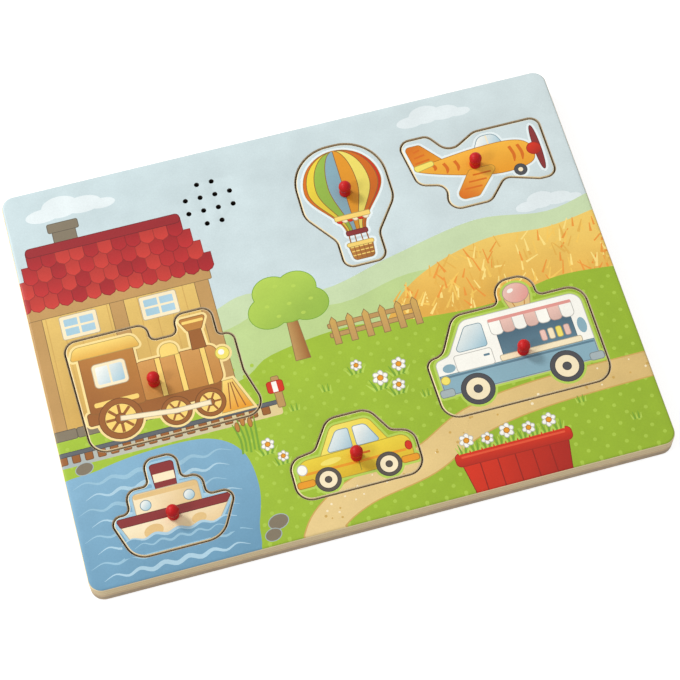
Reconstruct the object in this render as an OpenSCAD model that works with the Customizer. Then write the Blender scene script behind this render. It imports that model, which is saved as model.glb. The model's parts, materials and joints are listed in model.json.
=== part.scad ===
// Wooden sound puzzle: a board of three layers with six lift-out pieces, a light sensor under
// each of them, and a speaker, a sound board and two cells inside.
// Millimetres, +Z up, the middle of the board at x = 0 and y = 0, its underside on z = 0.

/* [Board] */
// Length of the board
board_l = 300; // [294:1:340]
// Width of the board
board_w = 226; // [222:1:260]
// Radius of the board's corners
corner_r = 7; // [6:0.5:14]
// Thickness of the face board and of the pieces that lie in it
face_t = 6; // [5.5:0.5:9]
// Thickness of the core board under it
core_t = 9; // [8.5:0.5:12]
// Wood left over the routed channels, which is the floor of the recesses
floor_t = 2.5; // [2:0.1:3]
// Width of the core board's rim round the back panel
rim_w = 5; // [4:0.5:8]
// Thickness of the back panel
panel_t = 2; // [1.5:0.1:2.4]
// Height of the back panel above the table
panel_recess = 0.5; // [0.3:0.1:0.8]
// Diameter of the back panel's screws
panel_screw_d = 2.6; // [2:0.1:3]
// Length of the back panel's screws
panel_screw_l = 6; // [5:0.5:7]

/* [Knobs] */
// Diameter of a knob's round head
head_d = 6.6; // [6:0.1:9]
// Height of a knob above its piece
knob_h = 9.5; // [8.5:0.1:13]
// Diameter of a knob's neck
neck_d = 4.8; // [3:0.1:5]
// Diameter of a knob's foot
foot_d = 6; // [5.2:0.1:7]
// Diameter of the peg that is glued into the piece
peg_d = 4; // [3:0.1:5]
// Wood left under the peg
peg_skin = 1.2; // [0.8:0.1:2]

/* [Sound] */
// Pitch of the sound holes
hole_pitch = 8; // [7:0.1:8.5]
// Diameter of a sound hole
hole_d = 2.5; // [1.5:0.1:3]
// Sound holes along each side of the pattern, whose four corners are left out
hole_rows = 4; // [3:1:4]
// Diameter of the speaker
speaker_d = 36; // [32:0.5:40]
// Height of the speaker
speaker_h = 5.2; // [4.8:0.1:5.6]
// Diameter of the speaker's magnet
magnet_d = 17; // [15:0.5:20]
// Thickness of the speaker's magnet
magnet_t = 2; // [1.6:0.1:2.2]
// Diameter of the voice coil
coil_d = 9.8; // [8:0.1:11]
// Diameter of a light sensor
sensor_d = 5; // [4:0.1:6]
// Thickness of a light sensor
sensor_t = 2; // [1.6:0.1:2.2]
// Diameter of the hole through which a sensor sees
eye_d = 3.6; // [2:0.1:3.8]
// Depth of that hole
eye_t = 1; // [0.6:0.1:1.2]
// Length of the sound board
circuit_l = 44; // [40:1:48]
// Width of the sound board
circuit_w = 30; // [28:1:32]
// Thickness of the sound board
circuit_t = 1.2; // [0.8:0.1:1.6]
// Diameter of a lead
lead_d = 1.2; // [0.8:0.1:1.4]
// Width of the routed channels for the leads
channel_w = 5; // [4:0.1:6]

/* [Power] */
// Diameter of a cell
cell_d = 10.5; // [9.8:0.1:10.8]
// Length of a cell
cell_l = 44.5; // [42:0.1:46]
// Wall of the battery box
box_wall = 1; // [0.8:0.1:1.2]
// Height of a contact spring under load
spring_l = 3.4; // [3:0.1:4]
// Diameter of the spring wire
spring_wire = 0.5; // [0.4:0.05:0.5]
// Turns of a contact spring
spring_turns = 3; // [2:0.5:3]
// Thickness of the contact plates
contact_t = 0.4; // [0.3:0.05:0.6]
// Thickness of the battery door
door_t = 1.2; // [1:0.1:1.4]
// Diameter of the door's screw
door_screw_d = 2.4; // [2:0.1:2.6]

/* [Clearances] */
// Gap round a piece in its recess
piece_gap = 0.8; // [0.5:0.1:1.2]
// Gap round the back panel and the battery door
panel_gap = 0.3; // [0.2:0.05:0.5]
// Gap between pieces that are glued or pressed into a seat
seat_gap = 0.1; // [0.05:0.01:0.15]
// Gap round a cell in its box
cell_gap = 0.2; // [0.1:0.05:0.3]
// Gap between the door's screw and its hole in the door
screw_gap = 0.07; // [0.03:0.01:0.1]

/* [Hidden] */
$fn = 64;
fine = 240; // facets round a shallow dome
cut = 1; // how far a cut runs past the face that it opens
arc_step = 6; // degrees between the points of a round corner

// A place on the board, measured from the edges that are named, or from its middle
function side_of(edge) =
    edge == "right" || edge == "upper" ? 1 : edge == "left" || edge == "lower" ? -1 : 0;
function from_edges(edges, offset) =
    [side_of(edges.x) * board_l / 2 + offset.x, side_of(edges.y) * board_w / 2 + offset.y];
// The six pieces: name, edges that the place is measured from, place, knob, corners [x, y, radius]
// anticlockwise
pieces = [
    ["train", ["left", "middle"], [61, -9], [-6, -3], [
        [-44, -33, 9], [46, -33, 8], [39, -8, 9], [39, 14, 4], [31, 14, 3.5], [31, 31, 5], [12, 31, 5],
        [12, 20, 4], [-3, 20, 4], [-3, 30, 5], [-46, 30, 6]]],
    ["van", ["right", "lower"], [-64, 72], [4, -4], [
        [-44, -30, 9], [44, -30, 9], [44, 24, 9], [20, 24, 4], [20, 37, 8], [0, 37, 8], [0, 24, 4],
        [-25, 24, 8], [-36, 4, 8], [-45, 3, 4.5]]],
    ["plane", ["right", "upper"], [-49, -47], [-3, 0], [
        [-35, -4, 6], [-20, -8, 6], [-24, -23, 6], [-1, -23, 6], [10, -11, 6], [28, -17, 5], [37, -17, 5],
        [37, 19, 5], [2, 19, 8], [-14, 10, 8], [-23, 23, 5], [-39, 23, 5]]],
    ["balloon", ["middle", "upper"], [27, -51], [0, 6], [
        [-11, -37, 5], [11, -37, 5], [11, -21, 8], [24, -3, 12], [24, 35, 22], [-24, 35, 22],
        [-24, -3, 12], [-11, -21, 8]]],
    ["car", ["middle", "lower"], [-8, 38], [1, -3], [
        [-32, -19, 8], [32, -19, 8], [32, 3, 7], [21, 6, 5], [13, 20, 8], [-8, 20, 8], [-18, 5, 6],
        [-32, 3, 7]]],
    ["boat", ["left", "lower"], [49, 36], [-1, -7], [
        [-24, -24, 10], [20, -24, 12], [32, -1, 4], [17, -1, 4], [17, 11, 5], [7, 11, 3.5], [7, 25, 5],
        [-9, 25, 5], [-9, 11, 3.5], [-21, 11, 5], [-21, -1, 4], [-32, -1, 4]]]
];
function place(p) = from_edges(p[1], p[2]);

// Heights of the layers
panel_top = panel_recess + panel_t;
bay_top = core_t - floor_t;
board_t = core_t + face_t;

// Places on the board
speaker_offset = [-43.4, -31.4];
speaker_at = from_edges(["middle", "upper"], speaker_offset);
circuit_at = [-2, -14];
box_offset = [-52, 25];
box_at = from_edges(["right", "lower"], box_offset);
sensor_shift = [3, -5]; // from a piece's place to the sensor under it
screw_inset = 12; // from the board's edge to the back panel's screws

// Outlines
function unit(v) = v / norm(v);
// Points along the round corner at here, with the whole outline moved outwards by grow
function corner_arc(before, here, after, grow) =
    let (
        point = [here.x, here.y],
        u = unit([before.x, before.y] - point),
        v = unit([after.x, after.y] - point),
        side = sign(u.y * v.x - u.x * v.y), // 1 where the outline bulges, -1 where it is hollow
        half = acos(u * v) / 2,
        middle = point + unit(u + v) * here.z / sin(half),
        start = point + u * here.z / tan(half) - middle,
        first = atan2(start.y, start.x),
        sweep = side * (180 - 2 * half),
        steps = ceil(abs(sweep) / arc_step)
    )
    [for (k = [0 : steps])
        let (angle = first + sweep * k / steps)
        middle + (here.z + side * grow) * [cos(angle), sin(angle)]];
module round_outline(corners, grow = 0) {
    n = len(corners);
    polygon([for (i = [0 : n - 1])
        each corner_arc(corners[(i + n - 1) % n], corners[i], corners[(i + 1) % n], grow)]);
}
module round_rect(l, w, r) {
    square([l, w - 2 * r], center = true);
    square([l - 2 * r, w], center = true);
    for (x = [-1, 1], y = [-1, 1])
        translate([x * (l / 2 - r), y * (w / 2 - r)]) circle(r);
}
module slab(low, high) translate([0, 0, low]) linear_extrude(high - low) children();
module block(low, high) translate(low) cube(high - low);

// Board
module sound_holes() {
    middle = (hole_rows - 1) / 2;
    for (i = [0 : hole_rows - 1], j = [0 : hole_rows - 1])
        if (abs(i - middle) + abs(j - middle) < 2 * middle)
            translate(speaker_at + hole_pitch * [i - middle, j - middle]) circle(d = hole_d);
}
module face_board() {
    color([0.86, 0.75, 0.55]) difference() {
        slab(core_t, board_t) difference() {
            round_rect(board_l, board_w, corner_r);
            for (p = pieces) translate(place(p)) round_outline(p[4], piece_gap);
            sound_holes();
        }
        translate(box_at) slab(core_t - cut, box_top + seat_gap)
            square([box_l + 2 * seat_gap, box_w + 2 * seat_gap], center = true);
    }
}
panel_l = board_l - 2 * rim_w;
panel_w = board_w - 2 * rim_w;
panel_r = max(corner_r - rim_w, 2);
panel_screw_at = [for (x = [-1, 0, 1], y = [-1, 0, 1]) if (x != 0 || y != 0)
    [x * (board_l / 2 - screw_inset), y * (board_w / 2 - screw_inset)]];
module core_board() {
    color([0.66, 0.55, 0.42]) difference() {
        slab(0, core_t) round_rect(board_l, board_w, corner_r);
        slab(-cut, panel_top)
            round_rect(panel_l + 2 * panel_gap, panel_w + 2 * panel_gap, panel_r + panel_gap);
        for (p = panel_screw_at)
            translate(p) slab(panel_recess, panel_recess + panel_screw_l + seat_gap)
                circle(d = panel_screw_d + 2 * seat_gap);
        slab(panel_recess, bay_top) routing();
        for (p = board_screw_at)
            translate(p) slab(panel_recess, bay_top - circuit_t + board_screw_l + seat_gap)
                circle(d = board_screw_d + 2 * seat_gap);
        for (p = sensor_at) translate(p) {
            slab(panel_recess, core_t - eye_t) circle(d = sensor_d + 2 * seat_gap);
            slab(panel_recess, core_t + cut) circle(d = eye_d);
        }
        translate(speaker_at) slab(panel_recess, core_t + cut) circle(d = speaker_d + 2 * panel_gap);
        translate(box_at) box_window();
    }
}
// The bay of the sound board and the channels of the leads, which are routed to one depth
module routing() {
    translate(circuit_at) square([circuit_l + 2 * bay_gap, circuit_w + 2 * bay_gap], center = true);
    for (i = [0 : len(pieces) - 1]) channel(lead_from[i], sensor_at[i]);
    channel(speaker_lead_from, speaker_at);
    channel(battery_lead_from, battery_mouth);
}
module channel(from, to) {
    along = to - from;
    translate(from) rotate(atan2(along.y, along.x)) {
        translate([0, -channel_w / 2]) square([norm(along), channel_w]);
        translate([norm(along), 0]) circle(d = channel_w);
    }
}
module back_panel() {
    color([0.48, 0.36, 0.25]) difference() {
        slab(panel_recess, panel_top) round_rect(panel_l, panel_w, panel_r);
        for (p = panel_screw_at)
            translate([p.x, p.y, panel_recess]) countersunk(seat_gap, panel_screw_l + cut);
        translate(box_at) slab(panel_recess - cut, panel_top + cut)
            translate([(door_x0 + door_x1) / 2, 0])
                square([door_x1 - door_x0 + 2 * panel_gap, box_w + 2 * panel_gap], center = true);
    }
}
// A countersunk screw with its head on z = 0, made larger all round by grow
module countersunk(grow, l) {
    head_r = panel_screw_d + grow;
    shank_r = panel_screw_d / 2 + grow;
    translate([0, 0, -grow]) cylinder(r1 = head_r, r2 = shank_r, h = head_r - shank_r + grow);
    cylinder(r = shank_r, h = l);
}
slot_w = 0.6; // slots of the cross in a screw's head
slot_t = 0.5;
module cross_slots(across, depth) {
    for (a = [0, 90])
        rotate(a) block([-across / 2, -slot_w / 2, -cut], [across / 2, slot_w / 2, depth]);
}
module panel_screws() {
    color([0.72, 0.72, 0.74]) for (p = panel_screw_at)
        translate([p.x, p.y, panel_recess]) difference() {
            countersunk(0, panel_screw_l);
            cross_slots(panel_screw_d * 1.2, slot_t);
        }
}

// Pieces and knobs
peg_l = face_t - peg_skin;
module piece(p) {
    color([0.88, 0.77, 0.56]) translate(place(p)) difference() {
        slab(core_t, board_t) round_outline(p[4]);
        translate(p[3]) slab(board_t - peg_l - seat_gap, board_t + cut) circle(d = peg_d + 2 * seat_gap);
    }
}
foot_t = 0.8; // height of the foot's straight rim
module knob(p) {
    head_z = knob_h - head_d / 2;
    at = place(p) + p[3];
    color([0.72, 0.09, 0.07]) translate([at.x, at.y, board_t]) {
        translate([0, 0, head_z]) sphere(d = head_d);
        cylinder(d = neck_d, h = head_z);
        cylinder(d = foot_d, h = foot_t);
        translate([0, 0, foot_t]) cylinder(d1 = foot_d, d2 = neck_d, h = (foot_d - neck_d) / 2);
        translate([0, 0, -peg_l]) cylinder(d = peg_d, h = peg_l);
    }
}

// Light sensors and their leads
lead_z = bay_top - circuit_t - lead_d / 2 - seat_gap;
lead_pitch = 1.5 * lead_d; // from one lead of a pair to the other
leg_d = 0.5;
sensor_at = [for (p = pieces) place(p) + sensor_shift];
// Where each sensor's leads leave the sound board, in shares of its half length and half width
lead_edge = [[-1, 0], [1, -0.4], [1, 0.8], [0.7, 1], [-0.27, -1], [-1, -0.8]];
function on_circuit(share) = circuit_at + [share.x * circuit_l / 2, share.y * circuit_w / 2];
lead_from = [for (share = lead_edge) on_circuit(share)];
speaker_lead_from = on_circuit([-0.55, 1]);
battery_lead_from = on_circuit([1, -0.87]);
lead_under = 2; // how far a lead runs in under the sound board
module sensor(i) {
    along = sensor_at[i] - lead_from[i];
    color([0.85, 0.62, 0.4]) translate(sensor_at[i]) rotate(atan2(along.y, along.x)) {
        slab(core_t - eye_t - sensor_t, core_t - eye_t) circle(d = sensor_d);
        for (side = [-1, 1])
            translate([0, side * lead_pitch / 2]) slab(lead_z - lead_d / 2, core_t - eye_t - sensor_t)
                circle(d = leg_d);
    }
}
// A pair of leads from one point to another, ending short of the second
module lead_pair(from, to, short) {
    along = to - from;
    translate(from) rotate(atan2(along.y, along.x)) for (side = [-1, 1])
        translate([-lead_under, side * lead_pitch / 2, lead_z]) rotate([0, 90, 0])
            cylinder(d = lead_d, h = norm(along) + lead_under - short);
}
module sensor_leads() {
    color([0.8, 0.15, 0.12]) for (i = [0 : len(pieces) - 1])
        lead_pair(lead_from[i], sensor_at[i], leg_d / 2 + seat_gap);
}
module speaker_leads() {
    color([0.1, 0.1, 0.1]) lead_pair(speaker_lead_from, speaker_at, terminal_r + seat_gap);
}

// Speaker, measured down from its front
speaker_r = speaker_d / 2;
frame_t = 0.6;
rim_t = 1;
ledge_w = 1.7; // ledge on which the cone's edge is glued
ledge_z = 0.4;
lip_w = 0.6;
cone_t = 0.25;
coil_t = 0.4;
coil_gap = 0.4;
frame_floor = speaker_h - magnet_t;
cone_floor = frame_floor - 3 * frame_t;
module turned(points) translate(speaker_at) translate([0, 0, core_t]) rotate_extrude() polygon(points);
module speaker_frame() {
    floor_r = magnet_d / 2 + 1.5;
    hole_r = coil_d / 2 + 2 * coil_gap;
    color([0.75, 0.76, 0.78]) turned([
        [speaker_r, 0], [speaker_r, -rim_t], [speaker_r - ledge_w - lip_w, -rim_t],
        [floor_r, -frame_floor], [hole_r, -frame_floor], [hole_r, frame_t - frame_floor],
        [floor_r - frame_t / 2, frame_t - frame_floor], [speaker_r - ledge_w - lip_w, -ledge_z],
        [speaker_r - lip_w, -ledge_z], [speaker_r - lip_w, 0]
    ]);
}
module speaker_magnet() {
    r = magnet_d / 2;
    in_r = coil_d / 2 - coil_t - coil_gap;
    out_r = coil_d / 2 + coil_gap;
    gap_z = -speaker_h + frame_t;
    color([0.35, 0.36, 0.38]) turned([
        [0, -speaker_h], [r, -speaker_h], [r, -frame_floor], [out_r, -frame_floor], [out_r, gap_z],
        [in_r, gap_z], [in_r, -frame_floor], [0, -frame_floor]
    ]);
}
module voice_coil() {
    r = coil_d / 2;
    low = -speaker_h + frame_t + coil_gap;
    color([0.72, 0.42, 0.2]) turned([[r - coil_t, low], [r, low], [r, -cone_floor], [r - coil_t, -cone_floor]]);
}
module speaker_cone() {
    out_r = speaker_r - lip_w - seat_gap;
    in_r = coil_d / 2 + seat_gap;
    edge_r = speaker_r - lip_w - ledge_w;
    color([0.16, 0.16, 0.18]) turned([
        [out_r, -ledge_z], [out_r, cone_t - ledge_z], [edge_r, cone_t - ledge_z],
        [in_r, cone_t - cone_floor], [in_r, -cone_floor], [edge_r, -ledge_z]
    ]);
}
// Terminal under the frame's floor, facing the leads
terminal_r = magnet_d / 2 + 6;
terminal_w = 7;
terminal_t = 1.7;
module speaker_terminal() {
    along = speaker_lead_from - speaker_at;
    color([0.55, 0.35, 0.18]) translate([speaker_at.x, speaker_at.y, core_t - frame_floor])
        rotate(atan2(along.y, along.x))
            block([magnet_d / 2 + seat_gap, -terminal_w / 2, -terminal_t], [terminal_r, terminal_w / 2, 0]);
}
cap_h = 1;
module speaker_dust_cap() {
    base_r = coil_d / 2 + 2 * seat_gap;
    dome_r = (pow(base_r, 2) + pow(cap_h, 2)) / (2 * cap_h);
    color([0.12, 0.12, 0.13]) translate(speaker_at)
        translate([0, 0, core_t - cone_floor + cone_t + seat_gap]) intersection() {
            translate([0, 0, cap_h - dome_r]) difference() {
                sphere(dome_r, $fn = fine);
                sphere(dome_r - cone_t, $fn = fine);
            }
            cylinder(r = speaker_r, h = 2 * cap_h);
        }
}

// Sound board
bay_gap = 2;
board_screw_d = 2;
board_screw_l = circuit_t + floor_t - 0.6;
board_head_d = 4;
board_head_t = 1.2;
board_screw_at = [circuit_at + [-18, 10], circuit_at + [6, -11.5]];
module circuit_board() {
    color([0.1, 0.42, 0.2]) slab(bay_top - circuit_t, bay_top) difference() {
        translate(circuit_at) square([circuit_l, circuit_w], center = true);
        for (p = board_screw_at) translate(p) circle(d = board_screw_d + 2 * seat_gap);
    }
}
module board_screws() {
    color([0.72, 0.72, 0.74]) for (p = board_screw_at)
        translate([p.x, p.y, bay_top - circuit_t]) {
            cylinder(d = board_screw_d, h = board_screw_l);
            difference() {
                translate([0, 0, -board_head_t]) cylinder(d = board_head_d, h = board_head_t);
                translate([0, 0, -board_head_t]) cross_slots(board_head_d * 0.6, slot_t);
            }
        }
}
chip_r = 5.5;
chip_t = 1.4;
module sound_chip() {
    dome_r = (pow(chip_r, 2) + pow(chip_t, 2)) / (2 * chip_t);
    color([0.08, 0.08, 0.09]) translate([circuit_at.x, circuit_at.y, bay_top - circuit_t]) intersection() {
        translate([0, 0, dome_r - chip_t]) sphere(dome_r, $fn = fine);
        translate([0, 0, -2 * chip_t]) cylinder(r = dome_r, h = 2 * chip_t);
    }
}
// A small block soldered under the sound board, at a place measured from the board's middle
module under_circuit(at, size)
    translate([circuit_at.x + at.x, circuit_at.y + at.y, bay_top - circuit_t - size.z])
        translate([-size.x / 2, -size.y / 2, 0]) cube(size);
module capacitor() color([0.85, 0.6, 0.15]) under_circuit([12, 4], [3.5, 2.8, 1.9]);
module resistors() {
    color([0.1, 0.1, 0.11]) for (i = [0 : 4]) under_circuit([-12 + 4 * i, -9], [1.25, 2, 0.55]);
}

// Battery box, measured from its middle, with the door's hooks at +X and its screw at -X
door_top = panel_recess + door_t;
cell_z = door_top + cell_gap + cell_d / 2;
cell_pitch = cell_d + cell_gap;
room_top = cell_z + cell_d / 2 + cell_gap;
bump_t = 0.4; // contact bump that a cell's plus end meets
room_l = cell_l + spring_l + 2 * contact_t + bump_t;
room_w = 2 * cell_d + 3 * cell_gap;
box_top = room_top + box_wall;
box_bottom = door_top + seat_gap;
box_l = room_l + 2 * box_wall;
box_w = room_w + 2 * box_wall;
rib_w = 1.2; // rib under the ceiling, between the cells
rib_low = sqrt(pow(cell_d / 2, 2) - pow((cell_pitch - rib_w) / 2 - cell_gap, 2));
flange_w = 3;
flange_t = 1.2;
boss_d = 6;
boss_l = 4.4;
door_boss_t = 1.5;
hook_room = 4; // space at the hooks' end in which the door can tilt
hook_reach = 2;
hook_t = 1;
hook_w = 5;
hook_gap = 0.15;
tag_w = 2.4;
tag_l = 2.5;
door_x0 = -box_l / 2 - boss_d - 0.5;
door_x1 = box_l / 2 + hook_room;
tilt_x = door_x1 - door_t / 2; // axis of the door's round edge, about which it tilts
window_x0 = door_x0 - 1.5; // where the core board's window for the box starts
tilt_room = 1;
battery_mouth = box_at + [window_x0, 0];
boss_x = -box_l / 2 - boss_d / 2;
boss_bottom = door_top + door_boss_t + seat_gap;
boss_hole_d = door_screw_d + 0.8;
cup_d = boss_d + 2 * panel_gap; // cup under the boss, which takes the door's own boss
cup_top = lead_z - lead_d / 2 - seat_gap;
module box_window() {
    block([window_x0, -box_w / 2 - seat_gap, panel_recess],
        [door_x1 + hook_reach + tilt_room, box_w / 2 + seat_gap, core_t + cut]);
    block([door_x0 - flange_w - seat_gap, -box_w / 2 - flange_w - seat_gap, panel_recess],
        [box_l / 2 + seat_gap, box_w / 2 + flange_w + seat_gap, panel_top + flange_t]);
}
module battery_box() {
    color([0.12, 0.12, 0.13]) translate(box_at) {
        difference() {
            union() {
                block([-box_l / 2, -box_w / 2, box_bottom], [box_l / 2, box_w / 2, box_top]);
                block([door_x0 - flange_w, -box_w / 2 - flange_w, panel_top],
                    [box_l / 2, box_w / 2 + flange_w, panel_top + flange_t]);
                translate([boss_x, 0]) {
                    slab(boss_bottom, boss_bottom + boss_l) circle(d = boss_d);
                    slab(panel_top, cup_top) circle(d = cup_d + 2 * box_wall);
                }
            }
            block([-room_l / 2, -room_w / 2, box_bottom - cut], [room_l / 2, room_w / 2, room_top]);
            translate([boss_x, 0]) {
                slab(box_bottom - cut, boss_bottom + boss_l - box_wall) circle(d = boss_hole_d);
                slab(box_bottom - cut, boss_bottom) circle(d = cup_d);
            }
            for (side = [-1, 1])
                block([-box_l / 2 - cut, side * cell_pitch / 2 - tag_w / 2 - seat_gap, lead_z - contact_t],
                    [-room_l / 2 + cut, side * cell_pitch / 2 + tag_w / 2 + seat_gap, lead_z + contact_t]);
        }
        block([-room_l / 4, -rib_w / 2, cell_z + rib_low], [room_l / 4, rib_w / 2, room_top]);
    }
}
plus_t = 0.9; // a cell's plus end
plus_d = 3.8;
// A cell along X with its plus end towards side, resting against its spring
module cell(y, side) {
    back = side * (spring_l + contact_t - room_l / 2);
    translate([box_at.x, box_at.y + y, cell_z]) rotate([0, 90, 0]) {
        translate([0, 0, min(back, back + side * (cell_l - plus_t))]) cylinder(d = cell_d, h = cell_l - plus_t);
        translate([0, 0, min(back, back + side * cell_l)]) cylinder(d = plus_d, h = cell_l);
    }
}
module battery_1() color([0.75, 0.6, 0.25]) cell(cell_pitch / 2, -1);
module battery_2() color([0.75, 0.6, 0.25]) cell(-cell_pitch / 2, 1);
plate_h = cell_d * 0.7;
// A contact plate on the end wall at side, from y0 to y1, with bumps at the places listed
module contact(side, y0, y1, bumps) {
    wall = side * room_l / 2;
    face = wall - side * contact_t;
    block([min(wall, face), y0, cell_z - plate_h / 2], [max(wall, face), y1, cell_z + plate_h / 2]);
    for (y = bumps)
        translate([face - side * bump_t / 2, y, cell_z]) rotate([0, 90, 0])
            cylinder(d = plus_d, h = bump_t, center = true);
}
module tag(y) {
    block([-box_l / 2 - tag_l, y - tag_w / 2, lead_z - contact_t / 2],
        [-room_l / 2 + contact_t / 2, y + tag_w / 2, lead_z + contact_t / 2]);
}
plate_half = cell_d * 0.4;
module contact_bridge() {
    color([0.8, 0.8, 0.82]) translate(box_at)
        contact(1, -cell_pitch / 2 - plate_half, cell_pitch / 2 + plate_half, [-cell_pitch / 2]);
}
module contact_plus() {
    color([0.8, 0.8, 0.82]) translate(box_at) {
        contact(-1, cell_pitch / 2 - plate_half, cell_pitch / 2 + plate_half, [cell_pitch / 2]);
        tag(cell_pitch / 2);
    }
}
module contact_minus() {
    color([0.8, 0.8, 0.82]) translate(box_at) {
        contact(-1, -cell_pitch / 2 - plate_half, -cell_pitch / 2 + plate_half, []);
        tag(-cell_pitch / 2);
    }
}
// Contact spring: a cone of wire, wide on its plate and narrow on the cell
spring_wide = cell_d * 0.3;
spring_narrow = cell_d * 0.2;
spring_rings = 12; // rings along a turn
spring_sides = 6;
spring_run = spring_l - spring_wire - 2 * seat_gap;
function spring_point(t) =
    let (r = spring_wide + (spring_narrow - spring_wide) * t, a = 360 * spring_turns * t)
    [r * cos(a), r * sin(a), spring_wire / 2 + seat_gap + spring_run * t];
spring_count = round(spring_turns * spring_rings);
spring_path = [for (k = [0 : spring_count]) spring_point(k / spring_count)];
// Least gap between turns, measured between points at least half a turn apart
spring_gap = min([for (i = [0 : spring_count], j = [0 : spring_count])
    if (j - i > spring_rings / 2) norm(spring_path[i] - spring_path[j])]) - spring_wire;
echo(least_gap_between_spring_turns = spring_gap);
// A closed tube through rings of points, each ring with the same number of sides
module tube(rings, sides) {
    n = len(rings);
    last = (n - 1) * sides;
    walls = [for (k = [0 : n - 2], s = [0 : sides - 1])
        let (a = k * sides + s, b = k * sides + (s + 1) % sides)
        each [[a, a + sides, b], [b, a + sides, b + sides]]];
    ends = [for (s = [1 : sides - 2]) each [[0, s, s + 1], [last, last + s + 1, last + s]]];
    polyhedron([for (ring = rings) each ring], concat(walls, ends));
}
function ring_round(middle, right, up, sides) =
    [for (s = [0 : sides - 1]) middle + cos(360 * s / sides) * right + sin(360 * s / sides) * up];
module spring() {
    tube([for (k = [0 : spring_count])
        let (
            here = spring_path[k],
            ahead = unit(spring_path[min(k + 1, spring_count)] - spring_path[max(k - 1, 0)]),
            out = unit([here.x, here.y, 0]),
            right = unit(out - ahead * (out * ahead))
        )
        ring_round(here, spring_wire / 2 * right, spring_wire / 2 * cross(ahead, right), spring_sides)],
        spring_sides);
}
module contact_springs() {
    color([0.82, 0.82, 0.84]) translate([box_at.x, box_at.y, cell_z]) for (side = [-1, 1])
        translate([side * (room_l / 2 - contact_t), side * cell_pitch / 2, 0]) rotate([0, -side * 90, 0]) spring();
}
module battery_door() {
    head_room = door_screw_d * 1.8 + 2 * panel_gap;
    color([0.16, 0.16, 0.17]) translate(box_at) {
        difference() {
            union() {
                block([door_x0, -box_w / 2, panel_recess], [tilt_x, box_w / 2, door_top]);
                translate([tilt_x, 0, panel_recess + door_t / 2]) rotate([90, 0, 0])
                    cylinder(d = door_t, h = box_w, center = true);
                translate([boss_x, 0]) slab(panel_recess, door_top + door_boss_t) circle(d = boss_d);
            }
            translate([boss_x, 0]) {
                slab(panel_recess - cut, panel_recess + door_t + seat_gap) circle(d = head_room);
                slab(panel_recess - cut, door_top + door_boss_t + cut) circle(d = door_screw_d + 2 * screw_gap);
            }
        }
        for (side = [-1, 1]) translate([0, side * box_w / 4]) {
            block([door_x1 - hook_t - seat_gap, -hook_w / 2, panel_recess + door_t / 2],
                [door_x1 - seat_gap, hook_w / 2, panel_top + hook_gap + hook_t]);
            block([door_x1 - hook_t - seat_gap, -hook_w / 2, panel_top + hook_gap],
                [door_x1 + hook_reach, hook_w / 2, panel_top + hook_gap + hook_t]);
        }
    }
}
door_screw_l = 6;
module door_screw() {
    color([0.72, 0.72, 0.74]) translate([box_at.x + boss_x, box_at.y, panel_recess + seat_gap]) difference() {
        union() {
            cylinder(d = door_screw_d * 1.8, h = door_t);
            cylinder(d = door_screw_d, h = door_screw_l);
        }
        cross_slots(door_screw_d * 1.2, slot_t);
    }
}
// The battery's two leads spread from their channel to the tags on both sides of the screw boss
module battery_leads() {
    along = unit(battery_mouth - battery_lead_from);
    across = lead_pitch / 2 * [-along.y, along.x];
    color([0.1, 0.1, 0.1]) for (side = [-1, 1])
        wire([
            battery_lead_from - lead_under * along + side * across,
            battery_mouth + side * across,
            box_at + [boss_x - lead_d, side * cell_pitch / 2],
            box_at + [-box_l / 2 - tag_l - seat_gap, side * cell_pitch / 2]
        ]);
}
lead_sides = 8;
// A lead along a route of flat points, with its bends mitred
module wire(points) {
    n = len(points);
    tube([for (i = [0 : n - 1])
        let (
            come = unit(points[max(i, 1)] - points[max(i, 1) - 1]),
            go = unit(points[min(i, n - 2) + 1] - points[min(i, n - 2)]),
            along = unit(come + go),
            right = lead_d / 2 / (along * come) * [along.y, -along.x, 0]
        )
        ring_round([points[i].x, points[i].y, lead_z], right, [0, 0, lead_d / 2], lead_sides)],
        lead_sides);
}

face_board();
core_board();
back_panel();
panel_screws();
for (p = pieces) piece(p);
for (p = pieces) knob(p);
for (i = [0 : len(pieces) - 1]) sensor(i);
speaker_frame();
speaker_magnet();
voice_coil();
speaker_cone();
speaker_dust_cap();
speaker_terminal();
circuit_board();
sound_chip();
capacitor();
resistors();
board_screws();
battery_box();
battery_1();
battery_2();
contact_bridge();
contact_plus();
contact_minus();
contact_springs();
battery_door();
door_screw();
sensor_leads();
speaker_leads();
battery_leads();
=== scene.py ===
import json
import math
import random

import bmesh
import bpy
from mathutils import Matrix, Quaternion, Vector
from mathutils.geometry import delaunay_2d_cdt


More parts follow.
